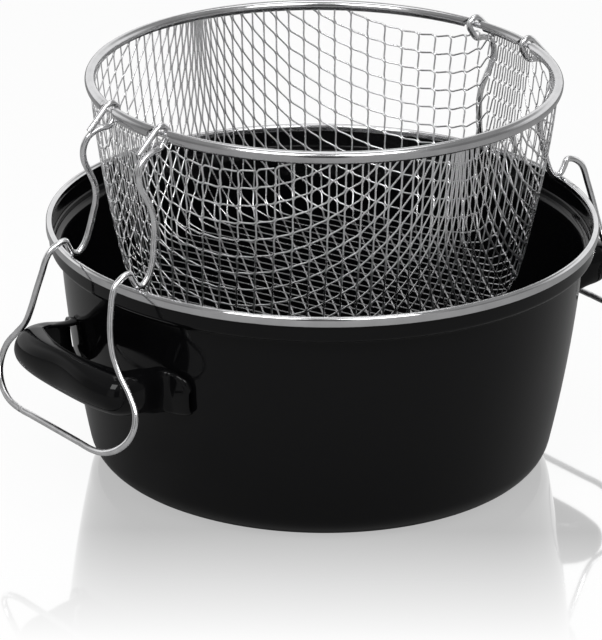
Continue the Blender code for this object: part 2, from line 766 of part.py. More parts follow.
def eye_loop():
    """The cut tail and the turn over the ring wire, as (out from the axis, up from the axis)."""
    radius = (RING_WIRE + BAIL_WIRE) / 2 + EYE_PLAY
    start = math.pi / 2 - TAIL_SLOPE
    loop = arc((0.0, 0.0), radius, start, EYE_WRAP, 6)
    tail = (loop[0][0] + TAIL_LENGTH * math.cos(TAIL_SLOPE), loop[0][1] - TAIL_LENGTH * math.sin(TAIL_SLOPE))
    return [tail] + loop


def rim_crossing():
    """Where a leg dips inside the rim and humps over it, as (out from the axis, up from the axis).

    The dip lies on a circle about the eye that just clears the rim, so the bail can swing away.
    """
    ring, _ = eye_axis()
    hook = hook_radius()
    crown = (trim_outer_radius() - trim_inner_radius()) / 2
    top = math.sqrt((trim_inner_radius() + crown) ** 2 - HOOK_HALF_SPACING ** 2) - ring
    over = RING_HEIGHT - POT_HEIGHT + crown
    lean = math.atan2(top, over)
    dip = [(hook * math.sin(share * lean), -hook * math.cos(share * lean)) for share in DIP_SHARES]
    rest = POT_HEIGHT - RING_HEIGHT + BAIL_WIRE / 2
    return dip + [(top + k * crown, rest + share * HUMP_RISE) for k, share in enumerate(HUMP_SHARES, 1)]


def bail_leg():
    """One leg from its cut end to the straight of the grip, as (out, aside, up) from the axis."""
    ring, _ = eye_axis()
    drop = RING_HEIGHT - POT_HEIGHT
    loop = [Vector((x, EYE_HALF_SPACING, z)) for x, z in eye_loop()]
    widening = HOOK_HALF_SPACING - EYE_HALF_SPACING
    wave = [Vector((out * WAVE_REACH, EYE_HALF_SPACING + aside * widening, -down * drop))
            for out, aside, down in WAVE_SHARES]
    crossing = [Vector((x, HOOK_HALF_SPACING, z)) for x, z in rim_crossing()]
    start = Vector((trim_outer_radius() - ring, 0.0, POT_HEIGHT - RING_HEIGHT + BAIL_WIRE / 2 + HUMP_RISE))
    end = Vector((grip_reach() - ring, GRIP_HALF_WIDTH, GRIP_HEIGHT - RING_HEIGHT))
    outer = [Vector((start.x + out * (end.x - start.x), aside * GRIP_HALF_WIDTH, start.z + down * (end.z - start.z)))
             for out, aside, down in LOOP_SHARES]
    return loop[:-1] + smooth_path([loop[-1]] + wave + crossing + outer, 2)


def make_bail(name, side, collection, material):
    leg = bail_leg()
    mirrored = [Vector((p.x, -p.y, p.z)) for p in reversed(leg)]
    points = [(side * p.x, p.y, p.z) for p in leg + mirrored]
    axis = eye_axis()
    return make_wire(name, points, BAIL_WIRE, collection, material, origin=(side * axis[0], 0.0, axis[1]))


def build():
    clear_scene()
    parts = new_collection("fry_pot_with_basket")
    helpers = new_collection("cutters")
    enamel = new_material("black_enamel", (0.012, 0.012, 0.013), 0.12, 0.0)
    trim_steel = new_material("trim_steel", (0.72, 0.72, 0.73), 0.18, 1.0)
    band_steel = new_material("band_steel", (0.70, 0.70, 0.71), 0.24, 1.0)
    bright_wire = new_material("bright_wire", (0.74, 0.74, 0.75), 0.2, 1.0)
    net_steel = new_material("net_steel", (0.66, 0.66, 0.67), 0.28, 1.0)

    cutters = {"wall": make_wall_cutter(helpers), "notches": make_notch_cutters(helpers)}
    make_pot_shell(parts, enamel)
    make_rim_trim(parts, trim_steel)
    make_handle("side_handle_right", 1, parts, cutters, enamel)
    make_handle("side_handle_left", -1, parts, cutters, enamel)

    basket = bpy.data.objects.new("basket", None)
    basket.location = (0.0, 0.0, RING_HEIGHT)
    parts.objects.link(basket)
    carried = [make_net(parts, net_steel), make_ring(parts, bright_wire)]
    carried += make_bands(parts, cutters, band_steel)
    carried += [make_bail("bail_right", 1, parts, bright_wire), make_bail("bail_left", -1, parts, bright_wire)]
    for obj in carried:
        obj.parent = basket
        obj.matrix_parent_inverse = Matrix.Translation(basket.location).inverted()


build()
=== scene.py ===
# %% [markdown]
# # A deep fry pot with a drawn expanded-metal basket
#
# The object is an enamelled steel pot with a polished trim, and a basket of expanded metal that
# hangs on the rim by two bent wires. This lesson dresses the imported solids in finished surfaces.
# Every surface is worked out with numpy, so each shape is one readable formula.

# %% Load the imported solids
import math
from math import pi, radians

import bpy
import numpy as np
from mathutils import Matrix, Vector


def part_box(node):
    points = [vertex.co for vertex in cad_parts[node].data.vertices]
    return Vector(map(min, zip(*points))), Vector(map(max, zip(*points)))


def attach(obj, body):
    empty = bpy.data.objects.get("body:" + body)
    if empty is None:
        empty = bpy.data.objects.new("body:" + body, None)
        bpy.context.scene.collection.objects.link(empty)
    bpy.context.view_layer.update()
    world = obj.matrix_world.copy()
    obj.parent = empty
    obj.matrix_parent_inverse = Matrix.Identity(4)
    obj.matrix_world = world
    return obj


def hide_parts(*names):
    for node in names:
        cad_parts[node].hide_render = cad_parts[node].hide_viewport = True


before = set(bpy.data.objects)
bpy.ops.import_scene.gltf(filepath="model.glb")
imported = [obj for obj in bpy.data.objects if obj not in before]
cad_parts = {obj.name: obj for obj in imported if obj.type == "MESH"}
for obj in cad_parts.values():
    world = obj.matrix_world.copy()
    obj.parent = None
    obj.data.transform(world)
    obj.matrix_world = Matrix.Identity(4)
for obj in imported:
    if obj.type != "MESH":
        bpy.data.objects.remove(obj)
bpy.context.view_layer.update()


MM = 0.001

# %% [markdown]
# ## Sizes
# The finished surfaces lie on the solids, so they repeat the solids' sizes. Heights and reaches
# that can be read off a solid are read from its box, and the rest are named here.

# %% Sizes read off the solids and named
POT_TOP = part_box("rim_trim")[1][2]
TRIM_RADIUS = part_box("rim_trim")[1][1]
RING_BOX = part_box("basket_ring")
RING_WIRE = 2.6 * MM
RING_RADIUS = RING_BOX[1][1] - RING_WIRE / 2
RING_HEIGHT = (RING_BOX[0][2] + RING_BOX[1][2]) / 2
BASKET_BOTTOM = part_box("basket_net")[0][2]

POT_SHEET = 1.2 * MM
TRIM_SHEET = 0.6 * MM
SEAT_GAP = 0.3 * MM
BASE_RADIUS = 92.0 * MM
BASE_FILLET = 15.0 * MM
COLLAR_RADIUS = 124.6 * MM
COLLAR_FLARE = 0.5 * MM
SHOULDER_RADIUS = 2.5 * MM
SHOULDER_HEIGHT = 100.5 * MM
WALL_TOP_RADIUS = 119.4 * MM
WALL_LEAN = radians(12.0)
WALL_LEAN_TOP = radians(4.5)
TRIM_OUTER_LEG = 4.3 * MM
TRIM_INNER_LEG = 3.4 * MM
TRIM_INNER_RADIUS = COLLAR_RADIUS + COLLAR_FLARE - POT_SHEET - SEAT_GAP - TRIM_SHEET
print(f"pot top {POT_TOP / MM:.1f}, ring radius {RING_RADIUS / MM:.2f} at {RING_HEIGHT / MM:.1f} mm")

# %% [markdown]
# ## Meshes from arrays
# A grid of points, one row for each station along a shape, becomes a mesh by joining each point to
# its neighbours. Closing the grid in one direction gives a tube, in both a ring.


# %% Mesh helpers
def grid_faces(rows, columns, close_rows=False, close_columns=True):
    """Quads of a grid: face (i, j) joins the points (i, j), (i, j+1), (i+1, j+1) and (i+1, j)."""
    i = np.arange(rows if close_rows else rows - 1)[:, None]
    j = np.arange(columns if close_columns else columns - 1)[None, :]
    next_i, next_j = (i + 1) % rows, (j + 1) % columns
    quads = np.stack([i * columns + j, i * columns + next_j,
                      next_i * columns + next_j, next_i * columns + j])
    return quads.reshape(4, -1).T


def tube_faces(rows, columns, first=0):
    """Quads of a tube with a flat cap at each end, numbered from the point called first."""
    near = list(range(first, first + columns))
    far = list(range(first + (rows - 1) * columns, first + rows * columns))
    return (grid_faces(rows, columns) + first).tolist() + [near[::-1], far]


def unit(vectors):
    """Vectors divided by their lengths."""
    return vectors / np.linalg.norm(vectors, axis=-1, keepdims=True)


def run_along(path):
    """How far each point of a path is from its start, along it."""
    return np.concatenate([[0.0], np.cumsum(np.linalg.norm(np.diff(path, axis=0), axis=1))])


def add_object(name, data):
    """A new object at the origin of the scene."""
    thing = bpy.data.objects.new(name, data)
    bpy.context.scene.collection.objects.link(thing)
    return thing


def new_piece(name, points, faces, material, body, node=None, thread=None, sharp=35.0):
    """A finished piece: its mesh, finish, smooth shading, the body it rides on and the node it replaces."""
    mesh = bpy.data.meshes.new(name)
    mesh.from_pydata(points.reshape(-1, 3).tolist(), [], faces)
    mesh.update()
    if thread is not None:
        along = mesh.attributes.new("thread", "FLOAT_VECTOR", "POINT")
        along.data.foreach_set("vector", np.asarray(thread, np.float32).ravel())
    mesh.shade_smooth()
    mesh.set_sharp_from_angle(angle=radians(sharp))
    piece = add_object(name, mesh)
    mesh.materials.append(material)
    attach(piece, body)
    if node:
        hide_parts(node)
    print(f"{name}: {len(mesh.vertices)} points, {sum(len(face) - 2 for face in faces)} triangles")
    return piece


# %% [markdown]
# ## Finishes
# Vitreous enamel is glass fused on steel: black, very smooth, with the faint ripple that glass
# takes as it runs in the kiln. Polished trim and drawn wire keep fine lines along the way they were
# rolled or drawn, so their roughness and bump are noise stretched along that way. Each helper adds
# a node and gives back its output, so a finish reads as a few lines.

# %% Node helpers
# Noise seldom leaves this range, so colours and roughness are spread over it
NOISE_LOW, NOISE_HIGH = 0.3, 0.7


def feed(tree, node, inputs):
    """Each input of a node is linked if it is given an output, and set if given a constant."""
    for key, value in inputs.items():
        if isinstance(value, bpy.types.NodeSocket):
            tree.links.new(value, node.inputs[key])
        else:
            node.inputs[key].default_value = value


def add_node(tree, kind, inputs, operation=None):
    """A new shader node of a kind, with its inputs fed."""
    node = tree.nodes.new("ShaderNode" + kind)
    if operation:
        node.operation = operation
    feed(tree, node, inputs)
    return node


def principled(name, color, metallic, roughness):
    """A new material with its shader's constants set on the shader itself."""
    material = bpy.data.materials.new(name)
    material.use_nodes = True
    tree = material.node_tree
    shader = tree.nodes["Principled BSDF"]
    feed(tree, shader, {"Base Color": (*color, 1.0), "Metallic": metallic, "Roughness": roughness})
    return material, tree, shader


def noise(tree, vector, scale, detail=3.0, stretch=(1.0, 1.0, 1.0)):
    """Noise of a vector after each of its axes is stretched."""
    stretched = add_node(tree, "Mapping", {"Vector": vector, "Scale": stretch})
    inputs = {"Vector": stretched.outputs["Vector"], "Scale": scale, "Detail": detail}
    return add_node(tree, "TexNoise", inputs).outputs["Fac"]


def remap(tree, value, low, high, start=NOISE_LOW, end=NOISE_HIGH):
    """A value from start to end carried over to the range from low to high."""
    inputs = {"Value": value, "From Min": start, "From Max": end, "To Min": low, "To Max": high}
    return add_node(tree, "MapRange", inputs).outputs["Result"]


def bump(tree, height, distance, strength, below=None):
    """A bump of that height in metres, on top of another one if given."""
    inputs = {"Height": height, "Distance": distance, "Strength": strength}
    if below is not None:
        inputs["Normal"] = below
    return add_node(tree, "Bump", inputs).outputs["Normal"]


def shade(tree, value, dark, light):
    """A colour between a dark and a light one."""
    ramp = add_node(tree, "ValToRGB", {"Fac": value})
    stops = ramp.color_ramp.elements
    for stop, position, color in zip(stops, (NOISE_LOW, NOISE_HIGH), (dark, light)):
        stop.position, stop.color = position, (*color, 1.0)
    return ramp.outputs["Color"]


def calculate(tree, operation, *values):
    """A math node on the given outputs or constants."""
    return add_node(tree, "Math", dict(enumerate(values)), operation).outputs["Value"]


def blend(tree, share, low, high):
    """A number between two others, each an output or a constant."""
    return add_node(tree, "Mix", {0: share, 2: low, 3: high}).outputs[0]


def along_axis(tree, vector, axis):
    """How far a vector reaches along an axis: their dot product."""
    node = add_node(tree, "VectorMath", {0: vector, 1: axis}, "DOT_PRODUCT")
    return node.outputs["Value"]


def object_vector(tree):
    """Where a point of the surface lies, in its object's own coordinates."""
    return tree.nodes.new("ShaderNodeTexCoord").outputs["Object"]


def axis_distance(tree):
    """How far a point of the surface is from the Z axis: the length of (x, y, 0)."""
    inputs = {0: object_vector(tree), 1: (1.0, 1.0, 0.0)}
    flat = add_node(tree, "VectorMath", inputs, "MULTIPLY").outputs["Vector"]
    return add_node(tree, "VectorMath", {0: flat}, "LENGTH").outputs["Value"]


def round_vector(tree):
    """Object coordinates turned into (turn about Z, distance from Z, height)."""
    split = add_node(tree, "SeparateXYZ", {"Vector": object_vector(tree)}).outputs
    turn = calculate(tree, "ARCTAN2", split["Y"], split["X"])
    inputs = {"X": turn, "Y": axis_distance(tree), "Z": split["Z"]}
    return add_node(tree, "CombineXYZ", inputs).outputs["Vector"]


# %% Enamel
def black_enamel():
    """Black glass on steel: a long ripple, a fine orange peel and a little uneven gloss."""
    material, tree, shader = principled("black_enamel_gloss", (0.0030, 0.0030, 0.0034), 0.0, 0.07)
    where = object_vector(tree)
    gloss = noise(tree, where, 38.0, 4.0)
    ripple = bump(tree, noise(tree, where, 24.0, 1.0), 0.5 * MM, 0.10)
    feed(tree, shader, {
        "Specular IOR Level": 0.21,
        "Roughness": remap(tree, gloss, 0.05, 0.12),
        "Normal": bump(tree, noise(tree, where, 420.0, 2.0), 0.04 * MM, 0.10, ripple),
    })
    return material


# %% Rolled steel of the trim and the bands
MARK_SHADE = 0.86


def rolled_steel(name, color, low, high):
    """Polished strip with fine lines round the rim and soft marks from handling."""
    material, tree, shader = principled(name, color, 1.0, (low + high) / 2)
    where = round_vector(tree)
    lines = noise(tree, where, 1.0, 4.0, stretch=(3.0, 2600.0, 2600.0))
    waves = noise(tree, where, 1.0, 1.0, stretch=(14.0, 200.0, 200.0))
    marks = noise(tree, object_vector(tree), 90.0)
    dark = tuple(MARK_SHADE * value for value in color)
    feed(tree, shader, {
        "Base Color": shade(tree, marks, dark, color),
        "Roughness": remap(tree, lines, low, high),
        "Normal": bump(tree, lines, 0.02 * MM, 0.4, bump(tree, waves, 0.12 * MM, 0.45)),
    })
    return material


# %% Drawn wire and expanded sheet
# Painted shade darkens the net's floor to this share of its colour, and fades out between these distances
# from Z
NET_FLOOR_PAINTED_SHADE = 0.42
PAINTED_SHADE_START, PAINTED_SHADE_END = 72.0 * MM, 92.0 * MM


def drawn_wire():
    """Bright wire with die lines along its length, read from the piece's own thread attribute."""
    material, tree, shader = principled("bright_drawn_wire", (0.86, 0.86, 0.87), 1.0, 0.20)
    thread = tree.nodes.new("ShaderNodeAttribute")
    thread.attribute_name = "thread"
    lines = noise(tree, thread.outputs["Vector"], 1.0, stretch=(7.0, 7.0, 60.0))
    marks = noise(tree, object_vector(tree), 210.0, 4.0)
    feed(tree, shader, {
        "Base Color": shade(tree, marks, (0.74, 0.74, 0.75), (0.92, 0.92, 0.93)),
        "Roughness": remap(tree, marks, 0.14, 0.30),
        "Normal": bump(tree, lines, 0.03 * MM, 0.25),
    })
    return material


def expanded_steel():
    """Bright sheet, rough where it was slit and stretched, with painted shade that darkens the net's floor.
    """
    material, tree, shader = principled("bright_expanded_steel", (0.86, 0.86, 0.87), 1.0, 0.25)
    patches = noise(tree, object_vector(tree), 60.0, 2.0)
    grain = noise(tree, object_vector(tree), 1500.0)
    grain_color = shade(tree, grain, (0.76, 0.76, 0.77), (0.94, 0.94, 0.95))
    # Painted shade: the colour is darker near Z on the net's floor, and whole again past the distances
    # above
    painted_shade = remap(tree, axis_distance(tree), NET_FLOOR_PAINTED_SHADE, 1.0, PAINTED_SHADE_START, PAINTED_SHADE_END)
    color = add_node(tree, "VectorMath", {0: grain_color, "Scale": painted_shade}, "SCALE")
    feed(tree, shader, {
        "Base Color": color.outputs["Vector"],
        "Roughness": remap(tree, patches, 0.20, 0.38),
        "Normal": bump(tree, grain, 0.03 * MM, 0.3),
    })
    return material


ENAMEL = black_enamel()
TRIM_STEEL = rolled_steel("polished_trim_steel", (0.74, 0.74, 0.75), 0.06, 0.16)
BAND_STEEL = rolled_steel("rolled_band_steel", (0.70, 0.70, 0.71), 0.10, 0.22)
WIRE_STEEL = drawn_wire()
NET_STEEL = expanded_steel()
print("finishes:", [m.name for m in (ENAMEL, TRIM_STEEL, BAND_STEEL, WIRE_STEEL, NET_STEEL)])

# %% [markdown]
# ## The pot
# A pot like this is pressed from one disc of sheet and then enamelled. Its outline is a few arcs
# and one easy curve, so the quickest exact way to make it is to turn that outline about Z.


# %% Outlines of the pot
def arc(center, radius, start, end, steps):
    """Points on a circle from one angle to another: the centre plus the radius at each angle."""
    angles = np.linspace(start, end, steps + 1)
    return np.stack([center[0] + radius * np.cos(angles), center[1] + radius * np.sin(angles)], axis=1)


def leaning_curve(low, high, lean_low, lean_high, steps):
    """A cubic from low to high that leans out by the given angle from upright at each end."""
    low, high = np.array(low), np.array(high)
    reach = np.linalg.norm(high - low) / 3
    near = low + reach * np.array([math.sin(lean_low), math.cos(lean_low)])
    far = high - reach * np.array([math.sin(lean_high), math.cos(lean_high)])
    t = np.linspace(0, 1, steps + 1)[:, None]
    return (1 - t) ** 3 * low + 3 * t * (1 - t) ** 2 * near + 3 * t * t * (1 - t) * far + t ** 3 * high


def pot_wall(inset=0.0):
    """The wall from the base fillet to the shoulder, moved inwards by inset."""
    fillet = BASE_FILLET
    low = (BASE_RADIUS + fillet * math.cos(WALL_LEAN), fillet - fillet * math.sin(WALL_LEAN))
    wall = leaning_curve(low, (WALL_TOP_RADIUS, SHOULDER_HEIGHT), WALL_LEAN, WALL_LEAN_TOP, 24)
    along = unit(np.gradient(wall, axis=0))
    return wall - inset * np.stack([along[:, 1], -along[:, 0]], axis=1)


def pot_side(inset=0.0):
    """One side of the sheet from the base up to the rim edge, moved inwards by inset."""
    fillet = arc((BASE_RADIUS, BASE_FILLET), BASE_FILLET - inset, -pi / 2, -WALL_LEAN, 12)
    bend = SHOULDER_RADIUS
    inner = arc((WALL_TOP_RADIUS + bend, SHOULDER_HEIGHT), bend + inset, pi, pi / 2, 6)
    outer = arc((COLLAR_RADIUS - bend, SHOULDER_HEIGHT + 2 * bend), bend - inset, -pi / 2, 0, 6)
    edge = [[COLLAR_RADIUS + COLLAR_FLARE - inset, POT_TOP - TRIM_SHEET - SEAT_GAP]]
    return np.concatenate([fillet[:-1], pot_wall(inset)[:-1], inner, outer, edge])


def full_turn(steps):
    """Even turns about Z, from 0 to a whole turn."""
    return 2 * pi * np.arange(steps) / steps


def turned(radius, turn, height):
    """A radius and a height turned about Z: (r cos a, r sin a, z)."""
    return np.stack(np.broadcast_arrays(radius * np.cos(turn), radius * np.sin(turn), height), axis=-1)


def turned_points(outline, turns):
    """A grid of points: an outline of (radius, height) at each of the turns about Z."""
    return turned(outline[:, 0], turns[:, None], outline[:, 1])


# %% Pot shell
# The enamelled sheet, outside and inside, with one point at each pole closed by a fan
POT_STEPS = 224
outline = np.concatenate([pot_side(), pot_side(POT_SHEET)[::-1]])
points = turned_points(outline, full_turn(POT_STEPS)).reshape(-1, 3)
poles = [(0.0, 0.0, 0.0), (0.0, 0.0, POT_SHEET)]
columns = len(outline)
faces = grid_faces(POT_STEPS, columns, close_rows=True, close_columns=False)[:, ::-1].tolist()
under, inside = len(points), len(points) + 1
for k in range(POT_STEPS):
    here, ahead = k * columns, (k + 1) % POT_STEPS * columns
    faces.append((under, ahead, here))
    faces.append((inside, here + columns - 1, ahead + columns - 1))
pot = new_piece("pot_enamelled", np.concatenate([points, poles]), faces, ENAMEL, "pot", "pot_shell")

# %% [markdown]
# ## The rim trim
# The trim is a strip of polished steel rolled over the pot's edge, its two ends butted together. It
# is turned as the pot was. A shallow groove marks the butt joint, and a few small dents are left
# where it was knocked in use: each lowers the strip by a smooth hill of a few tenths of a
# millimetre.

# %% Trim
TRIM_STEPS = 360
SEAM_TURN = radians(-18.0)
SEAM_HALF_WIDTH = 0.5 * MM
SEAM_DEPTH = 0.3 * MM
# Turn about Z and depth of each dent
DENTS = ((radians(188.0), 0.22 * MM), (radians(219.0), 0.25 * MM),
         (radians(243.0), 0.12 * MM))
DENT_HALF_WIDTH = 3.0 * MM
# A dent is full on top and outside, and is gone this far down and this far in
DENT_FADE_DOWN, DENT_FADE_IN = 2.2 * MM, 1.5 * MM
DENT_SHARE_IN = 0.8


def trim_outline():
    """The closed section of the folded strip: a full round crown with two legs."""
    outside, inside = TRIM_RADIUS, TRIM_INNER_RADIUS
    middle, crown = (outside + inside) / 2, (outside - inside) / 2
    center = (middle, POT_TOP - crown)
    lip = TRIM_SHEET / 2
    outer_foot = arc((outside - lip, POT_TOP - TRIM_OUTER_LEG + lip), lip, -pi, 0, 6)
    roll = arc(center, crown, 0.0, pi, 16)
    inner_foot = arc((inside + lip, POT_TOP - TRIM_INNER_LEG + lip), lip, -pi, 0, 6)
    hollow = arc(center, crown - TRIM_SHEET, pi, 0.0, 8)
    return np.concatenate([outer_foot, roll, inner_foot, hollow])


def hill(turn, place, half_width):
    """A smooth hill round the rim: e to the power of minus (distance / half width) squared."""
    away = (np.mod(turn - place + pi, 2 * pi) - pi) * TRIM_RADIUS
    return np.exp(-(away / half_width) ** 2)


def dented(points):
    """Points pressed down and inwards by each dent and by the seam's groove."""
    turn = np.arctan2(points[..., 1], points[..., 0])
    radius, height = np.hypot(points[..., 0], points[..., 1]), points[..., 2]
    depth = sum(deep * hill(turn, place, DENT_HALF_WIDTH) for place, deep in DENTS)
    depth = depth + SEAM_DEPTH * hill(turn, SEAM_TURN, SEAM_HALF_WIDTH)
    crown = np.clip((height - (POT_TOP - DENT_FADE_DOWN)) / DENT_FADE_DOWN, 0, 1)
    outer = np.clip((radius - TRIM_RADIUS + DENT_FADE_IN) / DENT_FADE_IN, 0, 1)
    out = turned(1.0, turn, 0.0)
    moved = points - (depth * outer * DENT_SHARE_IN)[..., None] * out
    moved[..., 2] -= depth * crown
    return moved


def trim_angles():
    """Even turns about Z, with more of them close to the seam so that its groove has a shape."""
    even = full_turn(TRIM_STEPS)
    seam, half_width = SEAM_TURN % (2 * pi), SEAM_HALF_WIDTH / TRIM_RADIUS
    close = seam + np.linspace(-3, 3, 13) * half_width
    kept = even[np.abs(even - seam) > 3.2 * half_width]
    return np.sort(np.concatenate([kept, close]))


# %% The strip
outline, angles = trim_outline(), trim_angles()
points = dented(turned_points(outline, angles))
faces = grid_faces(len(angles), len(outline), close_rows=True)[:, ::-1]
trim = new_piece("rim_trim_rolled", points, faces.tolist(), TRIM_STEEL, "pot", "rim_trim", sharp=60.0)

# %% [markdown]
# ## Side handles
# Each handle is a pressed strap with its edges turned in, as a shallow channel. Its path follows the
# wall at the foot, turns out through a flare into the arm, and through a corner into the bowed face.
# The channel is drawn at each station and its width, crown and lips change from run to run. A
# subdivision surface then rounds the folds as the press does.

# %% Handle sizes
HANDLE_REACH = 142.3 * MM
HANDLE_FACE_RADIUS = 99.0 * MM
HANDLE_CORNER = 6.5 * MM
HANDLE_HALF_SPAN = 36.0 * MM
HANDLE_FLARE = 5.0 * MM
HANDLE_FOOT_SPAN = 47.0 * MM
HANDLE_HEIGHT = 72.8 * MM
HANDLE_SHEET = 1.4 * MM
# The face of the section is an arc with this turn to each side, over this share of the width
FACE_COLUMNS = 9
FACE_ARC = radians(72.0)
FACE_SHARE = 0.97
# Width, rise, crown and lip in millimetres, and share of the wall's lean, where each run ends
HANDLE_SECTIONS = {
    "tip": (9.0, -6.6, 0.5, 1.2, 1.0),
    "foot": (18.2, -4.2, 0.9, 2.4, 1.0),
    "neck": (17.6, -3.2, 0.9, 5.4, 0.0),
    "arm": (16.2, -0.7, 4.4, 5.4, 0.0),
    "corner": (16.4, -0.4, 8.4, 4.2, 0.0),
    "middle": (17.0, 0.0, 4.2, 2.2, 0.0),
}
HANDLE_RUN_STEPS = (6, 8, 6, 9, 10)


# %% Handle shape
def wall_radius(height):
    """Radius of the wall's outside at a height."""
    wall = pot_wall()
    return np.interp(height, wall[:, 1], wall[:, 0])


def handle_plan():
    """Plan of half a strap as tangent runs: foot circle, flare arc, straight arm, corner arc, face arc."""
    foot = wall_radius(HANDLE_HEIGHT) + 2 * SEAT_GAP + HANDLE_SHEET
    aside, away = HANDLE_HALF_SPAN + HANDLE_FLARE, foot + HANDLE_FLARE
    flare = (math.sqrt(away ** 2 - aside ** 2), aside)
    landing, tip = math.asin(aside / away), math.asin(HANDLE_FOOT_SPAN / foot)
    hub = HANDLE_REACH - HANDLE_FACE_RADIUS
    arm_gap, chord = HANDLE_HALF_SPAN - HANDLE_CORNER, HANDLE_FACE_RADIUS - HANDLE_CORNER
    bend = math.asin(arm_gap / chord)
    corner = (hub + chord * math.cos(bend), arm_gap)
    n = HANDLE_RUN_STEPS
    arm = np.linspace((flare[0], HANDLE_HALF_SPAN), (corner[0], HANDLE_HALF_SPAN), n[2] + 1)
    return [
        arc((0.0, 0.0), foot, tip, landing, n[0]),
        arc(flare, HANDLE_FLARE, landing - pi, -pi / 2, n[1]),
        arm,
        arc(corner, HANDLE_CORNER, pi / 2, bend, n[3]),
        arc((hub, 0.0), HANDLE_FACE_RADIUS, bend, 0.0, n[4]),
    ]


def handle_half():
    """(plan point, section sizes) of each station of half a strap, eased along each run."""
    plan, sizes = [], []
    ends = list(HANDLE_SECTIONS.values())
    for number, run in enumerate(handle_plan()):
        t = np.linspace(0, 1, len(run))[:, None]
        ease = t * t * (3 - 2 * t)
        if number == 0:  # the tip is round, as a quarter of a circle
            ease = np.sqrt(1 - (1 - t) ** 2)
        block = np.array(ends[number]) + (np.array(ends[number + 1]) - np.array(ends[number])) * ease
        keep = slice(0 if number == 0 else 1, None)
        plan.append(run[keep])
        sizes.append(block[keep])
    return np.concatenate(plan), np.concatenate(sizes)


def handle_points(side):
    """Outer face of a strap as a grid: plan point, plus its outward normal times the section's depth."""
    plan, sizes = handle_half()
    whole = np.concatenate([plan, plan[-2::-1] * (1, -1)])
    sizes = np.concatenate([sizes, sizes[-2::-1]])
    ahead = unit(np.gradient(whole, axis=0))
    out = np.stack([-ahead[:, 1], ahead[:, 0]], axis=1)
    width, rise, crown, lip = (sizes[:, k:k + 1] * MM for k in range(4))
    lean = sizes[:, 4:5]
    turn = np.linspace(-1, 1, FACE_COLUMNS)[None, :] * FACE_ARC
    face_out = crown * np.cos(turn)
    face_up = HANDLE_HEIGHT + rise + np.sin(turn) / math.sin(FACE_ARC) * width / 2 * FACE_SHARE
    low, high = HANDLE_HEIGHT + rise - width / 2, HANDLE_HEIGHT + rise + width / 2
    edge = np.concatenate([-lip, -lip / 2, 0 * lip], axis=1)
    depth = np.concatenate([edge, face_out, edge[:, ::-1]], axis=1)
    height = np.concatenate([low, low, low, face_up, high, high, high], axis=1)
    depth = depth + lean * (wall_radius(height) - wall_radius(HANDLE_HEIGHT))
    x = whole[:, :1] + out[:, :1] * depth
    y = whole[:, 1:] + out[:, 1:] * depth
    radius = np.hypot(x, y)
    clear = np.maximum(radius, wall_radius(height) + SEAT_GAP + HANDLE_SHEET * 0.5) / radius
    return np.stack([side * x * clear, y * clear, height], axis=-1)


def make_handle(name, side, node):
    """The strap's outer face, thickened inwards and then rounded by a subdivision surface."""
    points = handle_points(side)
    rows, columns = points.shape[:2]
    faces = grid_faces(rows, columns, close_columns=False)[:, ::-side]
    handle = new_piece(name, points, faces.tolist(), ENAMEL, "pot", node, sharp=180.0)
    sheet = handle.modifiers.new("Sheet", "SOLIDIFY")
    sheet.thickness = HANDLE_SHEET
    sheet.offset = -1.0
    press = handle.modifiers.new("Press", "SUBSURF")
    press.levels = press.render_levels = 2


make_handle("handle_right_pressed", 1, "side_handle_right")
make_handle("handle_left_pressed", -1, "side_handle_left")

# %% [markdown]
# ## Wires
# A bent wire is a circle carried along a path. The circle keeps one direction in mind from station
# to station, so that the tube never twists. The thread attribute holds the turn round the wire and
# the length along it, which the finish reads for its die lines.


# %% Tube along a path
def rings_along(path, up, angles, wide, thick, closed=False):
    """An ellipse at each point of a path: the point + wide cos a to the side + thick sin a on top."""
    ahead = np.gradient(path, axis=0)
    if closed:
        ahead = np.roll(path, -1, axis=0) - np.roll(path, 1, axis=0)
    ahead = unit(ahead)
    side = unit(np.cross(ahead, up))
    top = np.cross(side, ahead)
    angles = angles[:, None]
    return path[:, None] + wide * np.cos(angles) * side[:, None] + thick * np.sin(angles) * top[:, None]


def tube(path, radius, up=(0.0, 0.0, 1.0), sides=16, closed=False, rounded=0.0):
    """(points, thread) of a round wire along a path, its cut ends thinner by what is rounded off."""
    angles = full_turn(sides)
    radii = np.full((len(path), 1, 1), radius)
    radii[[0, -1]] -= rounded
    points = rings_along(path, up, angles, radii, radii, closed)
    thread = np.broadcast_arrays(np.cos(angles), np.sin(angles), run_along(path)[:, None] / MM)
    return points, np.stack(thread, axis=-1)


# %% Ring wire
RING_STEPS = 240
RING_SIDES = 12

# One point turned about Z is the path of the wire
path = turned_points(np.array([(RING_RADIUS, RING_HEIGHT)]), full_turn(RING_STEPS))[:, 0]
points, thread = tube(path, RING_WIRE / 2, sides=RING_SIDES, closed=True)
faces = grid_faces(RING_STEPS, RING_SIDES, close_rows=True).tolist()
ring = new_piece("ring_wire", points, faces, WIRE_STEEL, "basket", "basket_ring", thread)

# %% [markdown]
# ## Bails
# Each bail is one wire: an eye turned over the ring, a wave down to the rim, a hook over the trim and
# a wide loop for the hand. The path goes through chosen points, joined by cubics that leave and
# arrive along the way of their neighbours.

